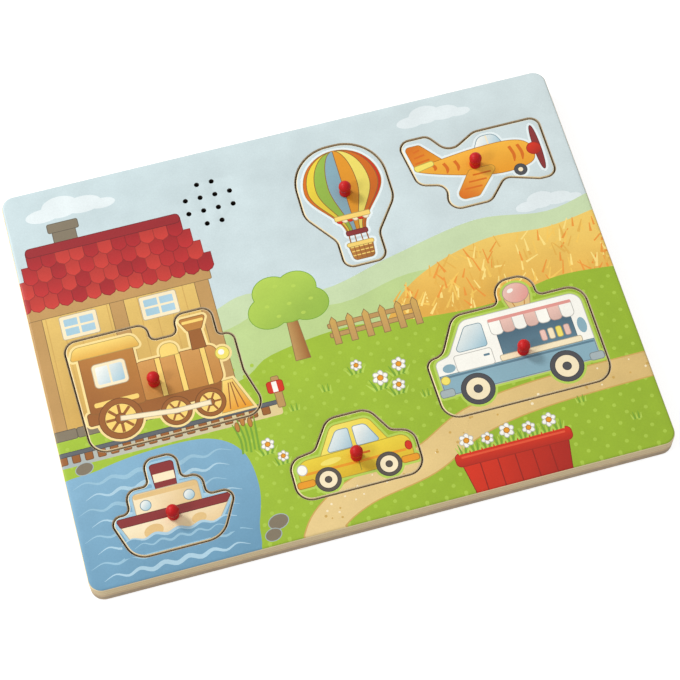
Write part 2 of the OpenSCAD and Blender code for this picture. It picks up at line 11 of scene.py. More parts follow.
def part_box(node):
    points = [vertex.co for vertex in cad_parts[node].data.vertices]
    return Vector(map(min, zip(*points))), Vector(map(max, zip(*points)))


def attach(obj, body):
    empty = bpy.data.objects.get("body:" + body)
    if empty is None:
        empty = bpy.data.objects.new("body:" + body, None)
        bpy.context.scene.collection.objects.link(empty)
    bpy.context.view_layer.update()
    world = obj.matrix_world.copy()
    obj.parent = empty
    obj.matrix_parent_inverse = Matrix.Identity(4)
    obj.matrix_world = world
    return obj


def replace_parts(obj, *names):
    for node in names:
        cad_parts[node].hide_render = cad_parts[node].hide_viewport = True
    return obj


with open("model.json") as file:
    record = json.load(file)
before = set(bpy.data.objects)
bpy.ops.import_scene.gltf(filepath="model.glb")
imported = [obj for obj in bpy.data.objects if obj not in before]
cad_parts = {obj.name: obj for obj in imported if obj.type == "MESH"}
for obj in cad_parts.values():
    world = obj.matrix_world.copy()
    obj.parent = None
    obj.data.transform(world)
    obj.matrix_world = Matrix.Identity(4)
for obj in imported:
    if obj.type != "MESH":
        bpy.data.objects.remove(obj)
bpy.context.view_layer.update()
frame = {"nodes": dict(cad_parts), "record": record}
cadNodes = frame["nodes"]
bodyOf = {node: body for body, members in frame["record"]["behaviour"]["bodies"].items() for node in members}
mm = 0.001  # lengths below are written in millimetres


def newObject(name, data):
    made = bpy.data.objects.new(name, data)
    bpy.context.scene.collection.objects.link(made)
    return made


def aim(thing, spot, target, roll=0.0):
    thing.location = spot
    thing.rotation_mode = "QUATERNION"
    look = (target - spot).to_track_quat("-Z", "Y")
    thing.rotation_quaternion = look @ Quaternion((0, 0, 1), math.radians(roll))


# camera at the photograph's angle
view = dict(eye=(-106.9, -454.1, 981.0), target=(1.9, -14.2, 15.0), roll=-1.5, lens=110.7, sensor=36)


def setCamera():
    data = bpy.data.cameras.new("photoCamera")
    data.lens = view["lens"]
    data.sensor_width = view["sensor"]
    camera = newObject("photoCamera", data)
    aim(camera, Vector(view["eye"]) * mm, Vector(view["target"]) * mm, view["roll"])
    bpy.context.scene.camera = camera


# two soft lamps from the left, even light all round and a white floor
studio = dict(
    lamps=dict(keyLamp=((-0.49, 0.52, 0.64), 28.2), fillLamp=((-0.70, -0.20, 0.68), 10.4)),
    lampAway=2200, lampSize=550, skyLevel=0.54,
    floorTone=0.5, floorGlow=0.76, floorSide=8000, floorDrop=0.05,
)


def setStudio():
    for name, (side, watts) in studio["lamps"].items():
        data = bpy.data.lights.new(name, "AREA")
        data.shape = "DISK"
        data.size = studio["lampSize"] * mm
        data.energy = watts
        aim(newObject(name, data), Vector(side).normalized() * studio["lampAway"] * mm, Vector())

    world = bpy.data.worlds.new("studioSky")
    bpy.context.scene.world = world
    world.use_nodes = True
    tree = world.node_tree
    sky = tree.nodes["Background"]
    sky.inputs["Color"].default_value = (1, 1, 1, 1)
    level = tone(tree, seenRays(tree), studio["skyLevel"], 1.0, 0.0, 1.0)
    tree.links.new(level, sky.inputs["Strength"])

    half = studio["floorSide"] * mm / 2
    low = -studio["floorDrop"] * mm
    mesh = bpy.data.meshes.new("studioFloor")
    mesh.from_pydata([(-half, -half, low), (half, -half, low), (half, half, low), (-half, half, low)],
                     [], [(0, 1, 2, 3)])
    grey = studio["floorTone"]
    paper, tree = startMaterial("floorPaper", dict(shader={
        "Base Color": (grey, grey, grey, 1), "Roughness": 0.9, "Specular IOR Level": 0.1,
        "Emission Color": (1, 1, 1, 1)}))
    wire(tree, {"Emission Strength": tone(tree, seenRays(tree), 0.0, studio["floorGlow"], 0.0, 1.0)})
    mesh.materials.append(paper)
    newObject("studioFloor", mesh)


# small helpers for node materials
def add(tree, kind, values, **settings):
    made = tree.nodes.new("ShaderNode" + kind)
    for key, value in settings.items():
        setattr(made, key, value)
    for socket, value in values.items():
        if isinstance(value, bpy.types.NodeSocket):
            tree.links.new(value, made.inputs[socket])
        else:
            made.inputs[socket].default_value = value
    return made


def maths(tree, operation, first, second=0.0, **settings):
    return add(tree, "Math", {0: first, 1: second}, operation=operation, **settings).outputs[0]


def seenRays(tree):  # 1 where the camera looks, also by a mirror or through a clear piece
    rays = add(tree, "LightPath", {}).outputs
    straight = maths(tree, "ADD", rays["Is Camera Ray"], rays["Is Glossy Ray"])
    return maths(tree, "ADD", straight, rays["Is Transmission Ray"], use_clamp=True)


def startMaterial(name, look):
    mat = bpy.data.materials.new(name)
    mat.use_nodes = True
    for socket, value in look.get("shader", {}).items():
        mat.node_tree.nodes["Principled BSDF"].inputs[socket].default_value = value
    return mat, mat.node_tree


def wire(tree, values):  # joins what varies over the surface to the shader
    for socket, value in values.items():
        tree.links.new(value, tree.nodes["Principled BSDF"].inputs[socket])


def ink(rgb):  # screen colour, 0 to 255, as Blender's linear colour
    def linear(v):
        v = v / 255
        return v / 12.92 if v <= 0.04045 else ((v + 0.055) / 1.055) ** 2.4
    return (linear(rgb[0]), linear(rgb[1]), linear(rgb[2]), 1.0)


def coords(tree, stretch=(1, 1, 1)):
    where = add(tree, "TexCoord", {})
    return add(tree, "Mapping", {"Vector": where.outputs["Object"], "Scale": stretch}).outputs[0]


def axis(tree, number):  # 0 is along the board and 2 is up
    return add(tree, "SeparateXYZ", {0: coords(tree)}).outputs[number]


def noise(tree, at, size, detail):  # size of a speckle in millimetres
    return add(tree, "TexNoise", {"Vector": at, "Scale": 1 / (size * mm), "Detail": detail}).outputs[0]


def tone(tree, value, low, high, start=0.3, end=0.7):
    return add(tree, "MapRange", {0: value, 1: start, 2: end, 3: low, 4: high}).outputs[0]


def vary(tree, colour, speck, levels, start=0.3, end=0.7):  # a colour or a socket, times a level
    base = colour if isinstance(colour, bpy.types.NodeSocket) else ink(colour)[:3]
    level = tone(tree, speck, *levels, start, end)
    return add(tree, "VectorMath", {0: base, 1: level}, operation="MULTIPLY").outputs[0]


def mixInk(tree, share, *colours):  # two colours or sockets
    first, second = (c if isinstance(c, bpy.types.NodeSocket) else ink(c) for c in colours)
    return add(tree, "Mix", {0: share, 6: first, 7: second}, data_type="RGBA").outputs[2]


def relief(tree, height, deep):  # deep in millimetres
    return add(tree, "Bump", {"Height": height, "Distance": deep * mm, "Strength": 1.0}).outputs[0]


def dress(mat, look, colour, speck, height=None):  # gives the surface its colour, roughness and relief
    tree = mat.node_tree
    wire(tree, {"Base Color": colour, "Normal": relief(tree, height or speck, look["deep"])})
    if "rough" in look:
        wire(tree, {"Roughness": tone(tree, speck, *look["rough"])})
    return mat


# printed and varnished face, whose picture is in the mesh's ink colours
inkLook = dict(washSize=16, wash=(0.955, 1.045), grainSize=0.8, grain=(0.97, 1.03), rough=(0.38, 0.5),
               deep=0.02, shader={"Specular IOR Level": 0.25, "Coat Weight": 0.06, "Coat Roughness": 0.3})


def printedInk():
    mat, tree = startMaterial("printedInk", inkLook)
    at = coords(tree)
    picture = add(tree, "Attribute", {}, attribute_name="ink").outputs["Color"]
    grain = noise(tree, at, inkLook["grainSize"], 3)
    washed = vary(tree, picture, noise(tree, at, inkLook["washSize"], 4), inkLook["wash"])
    return dress(mat, inkLook, vary(tree, washed, grain, inkLook["grain"]), grain)


# sawn plywood edge: layers with thin glue lines between them
plyLook = dict(pale=(242, 222, 178), brown=(236, 211, 166), glue=(212, 179, 135), layer=1.2, low=9, line=0.1,
               streak=(0.12, 0.12, 2.0), speck=0.5, vary=(0.94, 1.04), deep=0.05,
               shader={"Roughness": 0.6, "Specular IOR Level": 0.3})


def plyEdge():
    mat, tree = startMaterial("plyEdge", plyLook)
    along = noise(tree, coords(tree, plyLook["streak"]), plyLook["speck"], 4)
    height = maths(tree, "SUBTRACT", axis(tree, 2), plyLook["low"] * mm)
    layers = maths(tree, "DIVIDE", height, plyLook["layer"] * mm)
    turn = maths(tree, "FLOORED_MODULO", maths(tree, "FLOOR", layers), 2.0)
    line = maths(tree, "LESS_THAN", maths(tree, "FRACT", layers), plyLook["line"])
    wood = vary(tree, mixInk(tree, turn, plyLook["pale"], plyLook["brown"]), along, plyLook["vary"])
    return dress(mat, plyLook, mixInk(tree, line, wood, plyLook["glue"]), along)


# core fibreboard, pale above a height and darker below it on its edge: partly the board's own brown, partly
# painted shade of the board's lower edge
coreLook = dict(colour=(200, 179, 152), upper=(230, 203, 163), change=6.5, blur=0.3, streak=(0.3, 0.3, 1.0),
                speck=0.7, vary=(0.86, 1.1), cloudSize=30, cloud=(0.95, 1.05), deep=0.06,
                shader={"Roughness": 0.75, "Specular IOR Level": 0.2})


def coreFibre():
    mat, tree = startMaterial("coreFibre", coreLook)
    fibre = noise(tree, coords(tree, coreLook["streak"]), coreLook["speck"], 5)
    cloud = noise(tree, coords(tree), coreLook["cloudSize"], 2)
    change = [(coreLook["change"] + side * coreLook["blur"]) * mm for side in (-1, 1)]
    # painted shade: below this height the edge is darker, partly the fibreboard's own brown
    layer = tone(tree, axis(tree, 2), 0.0, 1.0, *change)
    wood = mixInk(tree, layer, coreLook["colour"], coreLook["upper"])
    wood = vary(tree, vary(tree, wood, fibre, coreLook["vary"]), cloud, coreLook["cloud"])
    return dress(mat, coreLook, wood, fibre)


# hardboard panel with its wire-mesh grain
panelLook = dict(colour=(128, 97, 68), speck=1.1, vary=(0.8, 1.18), cloudSize=40, cloud=(0.93, 1.07),
                 pitch=1.5, weave=(0.9, 1.06), uneven=0.4, deep=0.08,
                 waveLong=0.314,  # how far a wave runs at a scale of 1
                 shader={"Roughness": 0.7, "Specular IOR Level": 0.25})


def panelHardboard():
    mat, tree = startMaterial("panelHardboard", panelLook)
    at = coords(tree)
    scale = panelLook["waveLong"] / (panelLook["pitch"] * mm)
    waves = [add(tree, "TexWave", {"Vector": at, "Scale": scale, "Distortion": panelLook["uneven"]},
                 bands_direction=side).outputs[1] for side in "XY"]
    weave = maths(tree, "MULTIPLY", *waves)
    wood = vary(tree, panelLook["colour"], noise(tree, at, panelLook["speck"], 6), panelLook["vary"])
    wood = vary(tree, wood, weave, panelLook["weave"], 0, 1)
    wood = vary(tree, wood, noise(tree, at, panelLook["cloudSize"], 3), panelLook["cloud"])
    return dress(mat, panelLook, wood, weave)


# finishes that are one colour with speckle and a fine surface grain
metal = {"Metallic": 1.0}
sawn = dict(speck=0.5, vary=0.16, deep=0.04, streak=(1.0, 1.0, 0.08),
            shader={"Roughness": 0.65, "Specular IOR Level": 0.25})
finishes = dict(
    cutEdge=dict(colour=(184, 167, 140), **sawn),  # walls of the recesses and pieces: sawn wood, toned darker than the ply edge as painted shade in the gaps
    holeWallPaintedShade=dict(colour=(52, 44, 38), **sawn),  # the walls of the sound holes, painted dark as the shade inside the holes
    knobLacquer=dict(colour=(190, 15, 18), rough=(0.42, 0.54), speck=2.2, vary=0.1, deep=0.006,
                     shader={"Specular IOR Level": 0.22, "Coat Weight": 0.05, "Coat Roughness": 0.3}),
    zincSteel=dict(colour=(198, 199, 203), rough=(0.24, 0.4), speck=0.4, vary=0.06, deep=0.004,
                   shader=metal),
    boxPlastic=dict(colour=(34, 34, 37), rough=(0.48, 0.6), speck=0.35, vary=0.08, deep=0.012),
    doorPlastic=dict(colour=(40, 40, 43), rough=(0.5, 0.64), speck=0.4, vary=0.1, deep=0.02),
    nickelPlate=dict(colour=(206, 202, 192), rough=(0.2, 0.34), speck=0.5, vary=0.05, deep=0.003,
                     shader=metal),
    frameSteel=dict(colour=(190, 192, 196), rough=(0.3, 0.42), speck=0.8, vary=0.05, deep=0.004,
                    shader=metal),
    magnetIron=dict(colour=(96, 98, 102), rough=(0.4, 0.55), speck=0.6, vary=0.1, deep=0.01,
                    shader={"Metallic": 0.9}),
    coilCopper=dict(colour=(186, 108, 58), rough=(0.25, 0.4), speck=0.2, vary=0.12, deep=0.02,
                    shader=metal),
    coneFilm=dict(colour=(30, 30, 33), rough=(0.55, 0.7), speck=0.3, vary=0.15, deep=0.02),
    terminalBoard=dict(colour=(150, 98, 54), rough=(0.5, 0.62), speck=0.5, vary=0.1, deep=0.01),
    chipResin=dict(colour=(20, 20, 22), rough=(0.2, 0.32), speck=1.2, vary=0.1, deep=0.01),
    capacitorResin=dict(colour=(214, 152, 44), rough=(0.4, 0.5), speck=0.5, vary=0.06, deep=0.006),
    resistorCeramic=dict(colour=(34, 34, 37), rough=(0.35, 0.5), speck=0.3, vary=0.1, deep=0.006),
    sensorResin=dict(colour=(214, 158, 104), rough=(0.35, 0.5), speck=0.5, vary=0.08, deep=0.01),
    redLead=dict(colour=(190, 38, 30), rough=(0.4, 0.5), speck=1.0, vary=0.05, deep=0.004),
    blackLead=dict(colour=(30, 30, 32), rough=(0.4, 0.5), speck=1.0, vary=0.08, deep=0.004),
)


def speckled(name, look):
    mat, tree = startMaterial(name, look)
    speck = noise(tree, coords(tree, look.get("streak", (1, 1, 1))), look["speck"], 4)
    levels = (1 - look["vary"], 1 + look["vary"])
    return dress(mat, look, vary(tree, look["colour"], speck, levels), speck)


# cells: bare metal ends, a pale band at the plus end and a plain sleeve
cellLook = dict(metal=(200, 199, 196), band=(226, 222, 212), sleeve=(196, 160, 84), end=1.3, bandLong=13,
                long=44.5, rough=(0.26, 0.38), speck=0.8, vary=(0.95, 1.05), sleeveMetal=0.1, deep=0.003)


def cellSleeve(name, plusAt):
    mat, tree = startMaterial(name, cellLook)
    c = cellLook
    speck = noise(tree, coords(tree), c["speck"], 3)
    away = maths(tree, "ABSOLUTE", maths(tree, "SUBTRACT", axis(tree, 0), plusAt * mm))
    pastEnd, pastBand, pastSleeve = (maths(tree, "GREATER_THAN", away, x * mm)
                                     for x in (c["end"], c["bandLong"], c["long"] - c["end"]))
    skin = mixInk(tree, pastEnd, c["metal"], c["band"])
    skin = mixInk(tree, pastBand, skin, c["sleeve"])
    skin = mixInk(tree, pastSleeve, skin, c["metal"])
    sleeved = maths(tree, "SUBTRACT", pastBand, pastSleeve)
    wire(tree, {"Metallic": tone(tree, sleeved, 1.0, c["sleeveMetal"], 0.0, 1.0)})
    return dress(mat, c, vary(tree, skin, speck, c["vary"]), speck)


# green sound board with paler tracks under its mask
circuitLook = dict(mask=(24, 98, 50), track=(44, 130, 72), pitch=3.4, wide=0.07, rough=(0.28, 0.42),
                   speck=0.8, vary=(0.9, 1.1), deep=0.03)


def circuitMask():
    mat, tree = startMaterial("circuitMask", circuitLook)
    c = circuitLook
    at = coords(tree)
    fields = add(tree, "TexVoronoi", {"Vector": at, "Scale": 1 / (c["pitch"] * mm)},
                 feature="DISTANCE_TO_EDGE")
    line = maths(tree, "LESS_THAN", fields.outputs[0], c["wide"])
    speck = noise(tree, at, c["speck"], 3)
    mask = vary(tree, mixInk(tree, line, c["mask"], c["track"]), speck, c["vary"])
    return dress(mat, c, mask, speck, line)


setCamera()
setStudio()
finish = {name: speckled(name, look) for name, look in finishes.items()}
finish.update(printedInk=printedInk(), plyEdge=plyEdge(), coreFibre=coreFibre(),
              panelHardboard=panelHardboard(), circuitMask=circuitMask(),
              firstCell=cellSleeve("firstCell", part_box("battery_1")[0].x / mm),
              secondCell=cellSleeve("secondCell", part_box("battery_2")[1].x / mm))
print("studio and", len(finish), "finishes ready")


# outlines for the print, as lists of flat points
def ring(x, y, across, up=None, turn=0.0, steps=28):
    up = across if up is None else up
    c, s = math.cos(math.radians(turn)), math.sin(math.radians(turn))
    points = [(across * math.cos(a), up * math.sin(a)) for a in (math.tau * k / steps for k in range(steps))]
    return [(x + c * px - s * py, y + s * px + c * py) for px, py in points]


def rounded(corners, stepDegrees=12):  # corners are (x, y, radius)
    outline = []
    for before, here, after in zip(corners[-1:] + corners[:-1], corners, corners[1:] + corners[:1]):
        point = Vector(here[:2])
        if here[2] == 0:
            outline.append(tuple(point))
            continue
        u = (Vector(before[:2]) - point).normalized()
        v = (Vector(after[:2]) - point).normalized()
        half = math.acos(max(-1, min(1, u.dot(v)))) / 2
        middle = point + (u + v).normalized() * (here[2] / math.sin(half))
        start = point + u * (here[2] / math.tan(half)) - middle
        side = 1 if u.y * v.x - u.x * v.y > 0 else -1
        sweep = side * (math.pi - 2 * half)
        steps = max(2, math.ceil(abs(math.degrees(sweep)) / stepDegrees))
        first = math.atan2(start.y, start.x)
        for k in range(steps + 1):
            angle = first + sweep * k / steps
            outline.append((middle.x + here[2] * math.cos(angle), middle.y + here[2] * math.sin(angle)))
    return outline


def tapered(low, high):  # two level sides, each as (left, right, height, radius)
    (left, right, y, r), (highLeft, highRight, highY, highR) = low, high
    return rounded([(left, y, r), (right, y, r), (highRight, highY, highR), (highLeft, highY, highR)])


def rect(x0, y0, x1, y1, r=0):
    return tapered((x0, x1, y0, r), (x0, x1, y1, r))


def curve(points, steps=6):  # open smooth line through the points
    spots = [Vector(p) for p in points]
    spots = [2 * spots[0] - spots[1]] + spots + [2 * spots[-1] - spots[-2]]
    line = []
    for a, b, c, d in zip(spots, spots[1:], spots[2:], spots[3:]):
        for k in range(steps):
            t = k / steps
            line.append(tuple(0.5 * (2 * b + (c - a) * t + (2 * a - 5 * b + 4 * c - d) * t * t
                                     + (3 * b - a - 3 * c + d) * t ** 3)))
    return line + [tuple(spots[-2])]


def wave(left, right, y, swing, count):
    return curve([(left + (right - left) * k / count, y + (swing if k % 2 else -swing))
                  for k in range(count + 1)], 4)


def blob(points, steps=6):  # closed smooth outline through the points
    n = len(points)
    wrapped = [points[k % n] for k in range(-2, n + 3)]
    return curve(wrapped, steps)[2 * steps:(n + 2) * steps]


def stripe(line, wide, tip=None, tail=None):  # outline of a stroke along a line, thinner at its ends
    tip = wide if tip is None else tip
    tail = wide if tail is None else tail
    spots = [Vector(p) for p in line]
    left, right = [], []
    for k, here in enumerate(spots):
        ahead = (spots[min(k + 1, len(spots) - 1)] - spots[max(k - 1, 0)]).normalized()
        share = k / (len(spots) - 1)
        half = min(tail + (wide - tail) * 3 * share, wide, tip + (wide - tip) * 3 * (1 - share)) / 2
        side = Vector((-ahead.y, ahead.x)) * half
        left.append(tuple(here + side))
        right.append(tuple(here - side))
    return right + left[::-1]


def area(outline):  # more than 0 where the outline runs anticlockwise
    return sum(a[0] * b[1] - b[0] * a[1] for a, b in zip(outline, outline[1:] + outline[:1])) / 2


def moved(outline, inward):  # outline shifted to its left side, which is inwards on an anticlockwise one
    shifted = []
    for before, here, after in zip(outline[-1:] + outline[:-1], outline, outline[1:] + outline[:1]):
        come = (Vector(here) - Vector(before)).normalized()
        go = (Vector(after) - Vector(here)).normalized()
        middle = (come + go).normalized() if (come + go).length > 1e-6 else come
        reach = inward / max(0.5, middle.dot(come))
        shifted.append((here[0] - middle.y * reach, here[1] + middle.x * reach))
    return shifted


palette = dict(
    sky=(194, 211, 214), skyPale=(204, 217, 218), cloud=(222, 231, 232), hill=(184, 206, 138),
    farHill=(196, 214, 170), wheat=(236, 198, 100), wheatDeep=(222, 168, 70),
    straw=((248, 220, 130), (226, 176, 78), (240, 196, 92), (232, 150, 58)),
    grass=(158, 188, 54), grassDeep=(148, 178, 46), dot=(168, 197, 70), leaf=(116, 160, 50),
    leafPale=(178, 206, 84), green=(148, 182, 70),
    wall=(222, 187, 104), wallDeep=(204, 164, 86), beam=(187, 146, 88), plank=(203, 164, 88),
    roof=((186, 42, 44), (172, 34, 40), (200, 58, 50)), ridge=(146, 32, 38),
    stone=(126, 115, 95), stoneEdge=(163, 176, 178), iron=(92, 96, 100), sand=(224, 202, 144),
    road=(228, 200, 138), roadDeep=(214, 182, 116),
    water=(128, 172, 198), waterMid=(148, 188, 208), waterDeep=(104, 150, 178), waterPale=(170, 203, 219),
    glass=(158, 194, 208), white=(246, 244, 234), cream=(243, 227, 190), creamDeep=(226, 196, 146),
    tan=(222, 188, 128), gold=(242, 208, 112), brown=(186, 126, 58), brownPale=(206, 150, 82),
    brownDeep=(150, 92, 42), maroon=(132, 46, 46), red=(208, 50, 26), redDeep=(166, 36, 24),
    redPale=(224, 84, 52), pink=(233, 192, 178), pinkDeep=(222, 150, 140), orange=(228, 152, 38),
    orangePale=(240, 178, 62), orangeDeep=(212, 108, 26), yellow=(232, 206, 62), yellowPale=(240, 222, 104),
    yellowDeep=(214, 176, 40), blue=(135, 171, 184), blueDeep=(93, 125, 141), blueDark=(70, 98, 114),
    tyre=(74, 74, 78), tyreWarm=(86, 78, 70),
)

# the painter's list: later patches lie on top of earlier ones
patches = []
pen = dict(x=0.0, y=0.0, line=0.4)


def penAt(x, y):
    pen.update(x=x, y=y)


def rgbOf(colour):  # a colour, or its name in the palette
    return palette[colour] if isinstance(colour, str) else colour


def darker(colour, share=0.74):
    return tuple(c * share for c in rgbOf(colour))


def paint(outline, colour, fade=None, line=None):  # fade is a second colour and the two ends of the change
    spot = [(x + pen["x"], y + pen["y"]) for x, y in outline]
    if area(spot) < 0:
        spot.reverse()
    if line:
        patches.append(dict(outline=moved(spot, -pen["line"]), first=ink(rgbOf(line)), second=None, rim=True))
    patch = dict(outline=spot, first=ink(rgbOf(colour)), second=None)
    if fade:
        start, end = (Vector((x + pen["x"], y + pen["y"])) for x, y in fade[1:])
        patch.update(second=ink(rgbOf(fade[0])), start=start, along=end - start)
    patches.append(patch)


def lined(outline, colour, fade=None):
    paint(outline, colour, fade, darker(colour))


def patchInk(patch, spot):
    if not patch["second"]:
        return patch["first"]
    along = patch["along"]
    share = max(0.0, min(1.0, (Vector(spot) - patch["start"]).dot(along) / along.length_squared))
    return tuple(a + (b - a) * share for a, b in zip(patch["first"], patch["second"]))


# sky, hills, a wheat field and the dotted meadow
country = dict(
    half=(152, 115),  # half the picture, a little past the board's edges
    clouds=((-116, 97, 1.0), (84, 100, 0.85), (128, 34, 0.75)),
    puffs=((-14, 0, 9, 4), (-4, 3, 10, 6.5), (8, 1.5, 10, 5), (18, -0.5, 7, 3)),
    farHills=[(-156, 10), (-70, 16), (-38, 24), (0, 16), (40, 25), (88, 34), (126, 29), (158, 36)],
    nearHills=[(-156, 4), (-60, 6), (-30, 13), (8, 6), (46, 13), (90, 10), (158, 14)],
    wheat=[(22, -18), (40, 3), (62, 15), (92, 22), (124, 20), (158, 25)],
    meadow=[(-156, -22), (-62, -24), (-34, -13), (6, -8), (44, -13), (84, -15), (120, -9), (158, -12)],
    hillFoot=-60, seed=7,
    straws=190, strawX=(34, 150), strawLean=(78, 30), strawLong=(5, 9), strawWide=(0.9, 1.6),
    dotRows=20, dotCols=31, dotPitch=10.0, dotSize=1.05, dotFrom=(-150, -111),
)


def land(line, bottom, colour, fade=None):  # everything under a rolling line
    top = curve(line)
    paint([(top[0][0], bottom), (top[-1][0], bottom)] + top[::-1], colour, fade)


def paintCountry():
    c = country
    wide, high = c["half"]
    paint(rect(-wide, -high, wide, high), "sky", ("skyPale", (-140, 100), (120, 10)))
    for x, y, size in c["clouds"]:
        for dx, dy, across, up in c["puffs"]:
            paint(ring(x + dx * size, y + dy * size, across * size, up * size), "cloud")
    land(c["farHills"], c["hillFoot"], "farHill")
    land(c["nearHills"], c["hillFoot"], "hill")
    land(c["wheat"], c["hillFoot"], "wheat", ("wheatDeep", (90, 22), (84, -16)))
    dice = random.Random(c["seed"])
    for k in range(c["straws"]):
        x = dice.uniform(*c["strawX"])
        top = min(20, 4 + (x - 38) * 0.42)
        y = dice.uniform(-20, top - 3)
        lean = math.radians(dice.gauss(*c["strawLean"]))
        long = dice.uniform(*c["strawLong"])
        tip = (x + long * math.cos(lean), min(y + long * math.sin(lean), top + 3))
        straw = stripe([(x, y), tip], dice.uniform(*c["strawWide"]), 0.5)
        paint(straw, palette["straw"][dice.randrange(4)])
    land(c["meadow"], -high, "grass", ("grassDeep", (-60, -20), (40, -112)))
    for row in range(c["dotRows"]):
        for col in range(c["dotCols"]):
            x = c["dotFrom"][0] + c["dotPitch"] * (col + 0.5 * (row % 2))
            y = c["dotFrom"][1] + c["dotPitch"] * 0.5 * row
            if y < -17 - 4 * math.sin(x / 30):
                paint(ring(x, y, c["dotSize"], steps=8), "dot")


station = dict(
    left=-148, right=-56, base=-26, eaves=43, ridge=75, middlePost=-107, windows=(-134, -92),
    chimney=((-127, 60, -115, 88), (-129, 86, -113, 91)), planks=11, firstPlank=-141, plankStep=8,
    stoneStep=12, stoneWide=11.4, rows=4, tile=7.4, roofHalf=52, roofStep=3.6, ridgeHalf=41, seed=3,
)


def paintStation():
    s = station
    for corners in s["chimney"]:
        lined(rect(*corners, 0.8), "stone")
    lined(rect(s["left"], s["base"], s["right"], s["eaves"]), "wall", ("wallDeep", (-100, 40), (-100, -26)))
    for k in range(s["planks"]):
        x = s["firstPlank"] + s["plankStep"] * k
        paint(rect(x, s["base"], x + 0.5, s["eaves"]), "plank")
    for x in s["windows"]:
        lined(rect(x, 23.5, x + 19, 36.5, 1), "cream")
        paint(rect(x + 1.8, 25.3, x + 17.2, 34.7, 0.5), "glass", ("waterPale", (x, 26), (x + 16, 36)))
        paint(rect(x + 8.9, 25, x + 10.1, 35), "cream")
        paint(rect(x + 1.5, 29.4, x + 17.5, 30.6), "cream")
    for x in (s["left"] - 2, s["middlePost"], s["right"] - 6):
        lined(rect(x, s["base"], x + 7, s["eaves"], 0.4), "beam")
    lined(rect(s["left"] - 3, s["eaves"] - 5, s["right"] + 3, s["eaves"] + 2, 0.6), "beam")
    for x in range(s["left"] - 2, s["right"] + 2, s["stoneStep"]):
        lined(rect(x, s["base"] - 5, x + s["stoneWide"], s["base"], 0.8), "stone")
    dice = random.Random(s["seed"])
    middle = (s["left"] + s["right"]) / 2
    rowHigh = (s["ridge"] - s["eaves"]) / s["rows"]
    for row in range(s["rows"]):
        y = s["eaves"] + rowHigh * row
        half = s["roofHalf"] - s["roofStep"] * row
        count = round(2 * half / s["tile"])
        wide = 2 * half / count
        for k in range(count):
            x = middle - half + wide * k
            scallop = [(x + wide, y + rowHigh + 2), (x, y + rowHigh + 2), (x, y + 2.4),
                       (x + 0.15 * wide, y + 0.7), (x + 0.5 * wide, y - 0.5), (x + 0.85 * wide, y + 0.7),
                       (x + wide, y + 2.4)]
            tile = palette["roof"][dice.randrange(3)]
            lined(scallop, tile, (darker(tile, 0.88), (x, y), (x, y + rowHigh)))
    half = s["ridgeHalf"]
    lined(rect(middle - half, s["ridge"] - 0.5, middle + half, s["ridge"] + 4.5, 2), "ridge")


track = dict(left=-152, right=-36, rail=-38.0, sleeperStep=6.5)


def paintTrack():
    left, right, rail = track["left"], track["right"], track["rail"]
    paint(rect(left, rail - 8, right, rail - 1, 1.5), "stoneEdge", ("sand", (-150, -40), (-40, -46)))
    for k in range(int((right - left) / track["sleeperStep"])):
        x = left + 2 + track["sleeperStep"] * k
        lined(rect(x, rail - 6, x + 3.6, rail - 1.6, 0.5), "brownDeep")
    lined(rect(left, rail - 1.8, right + 1, rail, 0.3), "iron")
    lined(rect(-37.5, rail - 4, -34, rail + 13, 0.6), "beam")
    lined(rect(-40.5, rail + 4.5, -32.5, rail + 10.5, 1.2), "red")
    paint(rect(-38, rail + 4.6, -35.4, rail + 10.4), "white")


leafyTree = dict(x=-19, y=6, size=1.15, rim=0.4,
                 crown=((-9, 4, 9, 8), (9, 4, 9.5, 8), (-5, 13, 9, 8), (6, 13, 9, 8), (0, 7, 11, 10)),
                 leaves=((-9, 7), (-3, 16), (5, 14), (11, 6), (1, 6), (-5, 1), (6, 0)))


def paintTree():
    size, rim = leafyTree["size"], leafyTree["rim"]
    penAt(leafyTree["x"], leafyTree["y"])
    lined([(-3 * size, -22 * size), (3.4 * size, -22 * size), (2 * size, 2 * size), (-2 * size, 2 * size)],
          "beam", ("brownDeep", (-3, 0), (4, 0)))
    for dx, dy, across, up in leafyTree["crown"]:
        paint(ring(dx * size, dy * size, across * size + rim, up * size + rim), "leaf")
    for dx, dy, across, up in leafyTree["crown"]:
        paint(ring(dx * size, dy * size, across * size, up * size), "green",
              ("leafPale", (6 * size, -4 * size), (-8 * size, 20 * size)))
    for dx, dy in leafyTree["leaves"]:
        paint(ring(dx * size, dy * size, 1.1 * size, 0.8 * size, steps=12), "leafPale")


fence = dict(left=-2, right=43, low=-16, pitch=8.6, rails=(4.2, 9.6))


def paintFence():
    left, right, pitch = fence["left"], fence["right"], fence["pitch"]
    penAt(0, fence["low"])
    for y in fence["rails"]:
        lined(rect(left, y, right, y + 2.2, 0.4), "beam")
    for k in range(int((right - left) / pitch) + 1):
        x = left + 1.5 + pitch * k
        lined([(x, 0), (x + 3, 0), (x + 3, 13), (x + 1.5, 15.2), (x, 13)], "beam",
              ("wallDeep", (x, 0), (x, 14)))


pond = dict(
    shore=[(-158, -60), (-132, -51), (-104, -47.5), (-76, -49), (-61, -60), (-57.5, -80), (-62, -99),
           (-70, -118), (-115, -124), (-158, -118)],
    fade=[(-110, -50), (-100, -114)], bank=2.4, waves=8, waveStep=7.2,
    stones=((-53, -101, 5, 3.6), (-57, -107, 4, 3), (-139, -48.5, 4.4, 3)),
    reeds=5, heads=((-60.4, -47), (-57.2, -44.5), (-53.6, -46)),
)


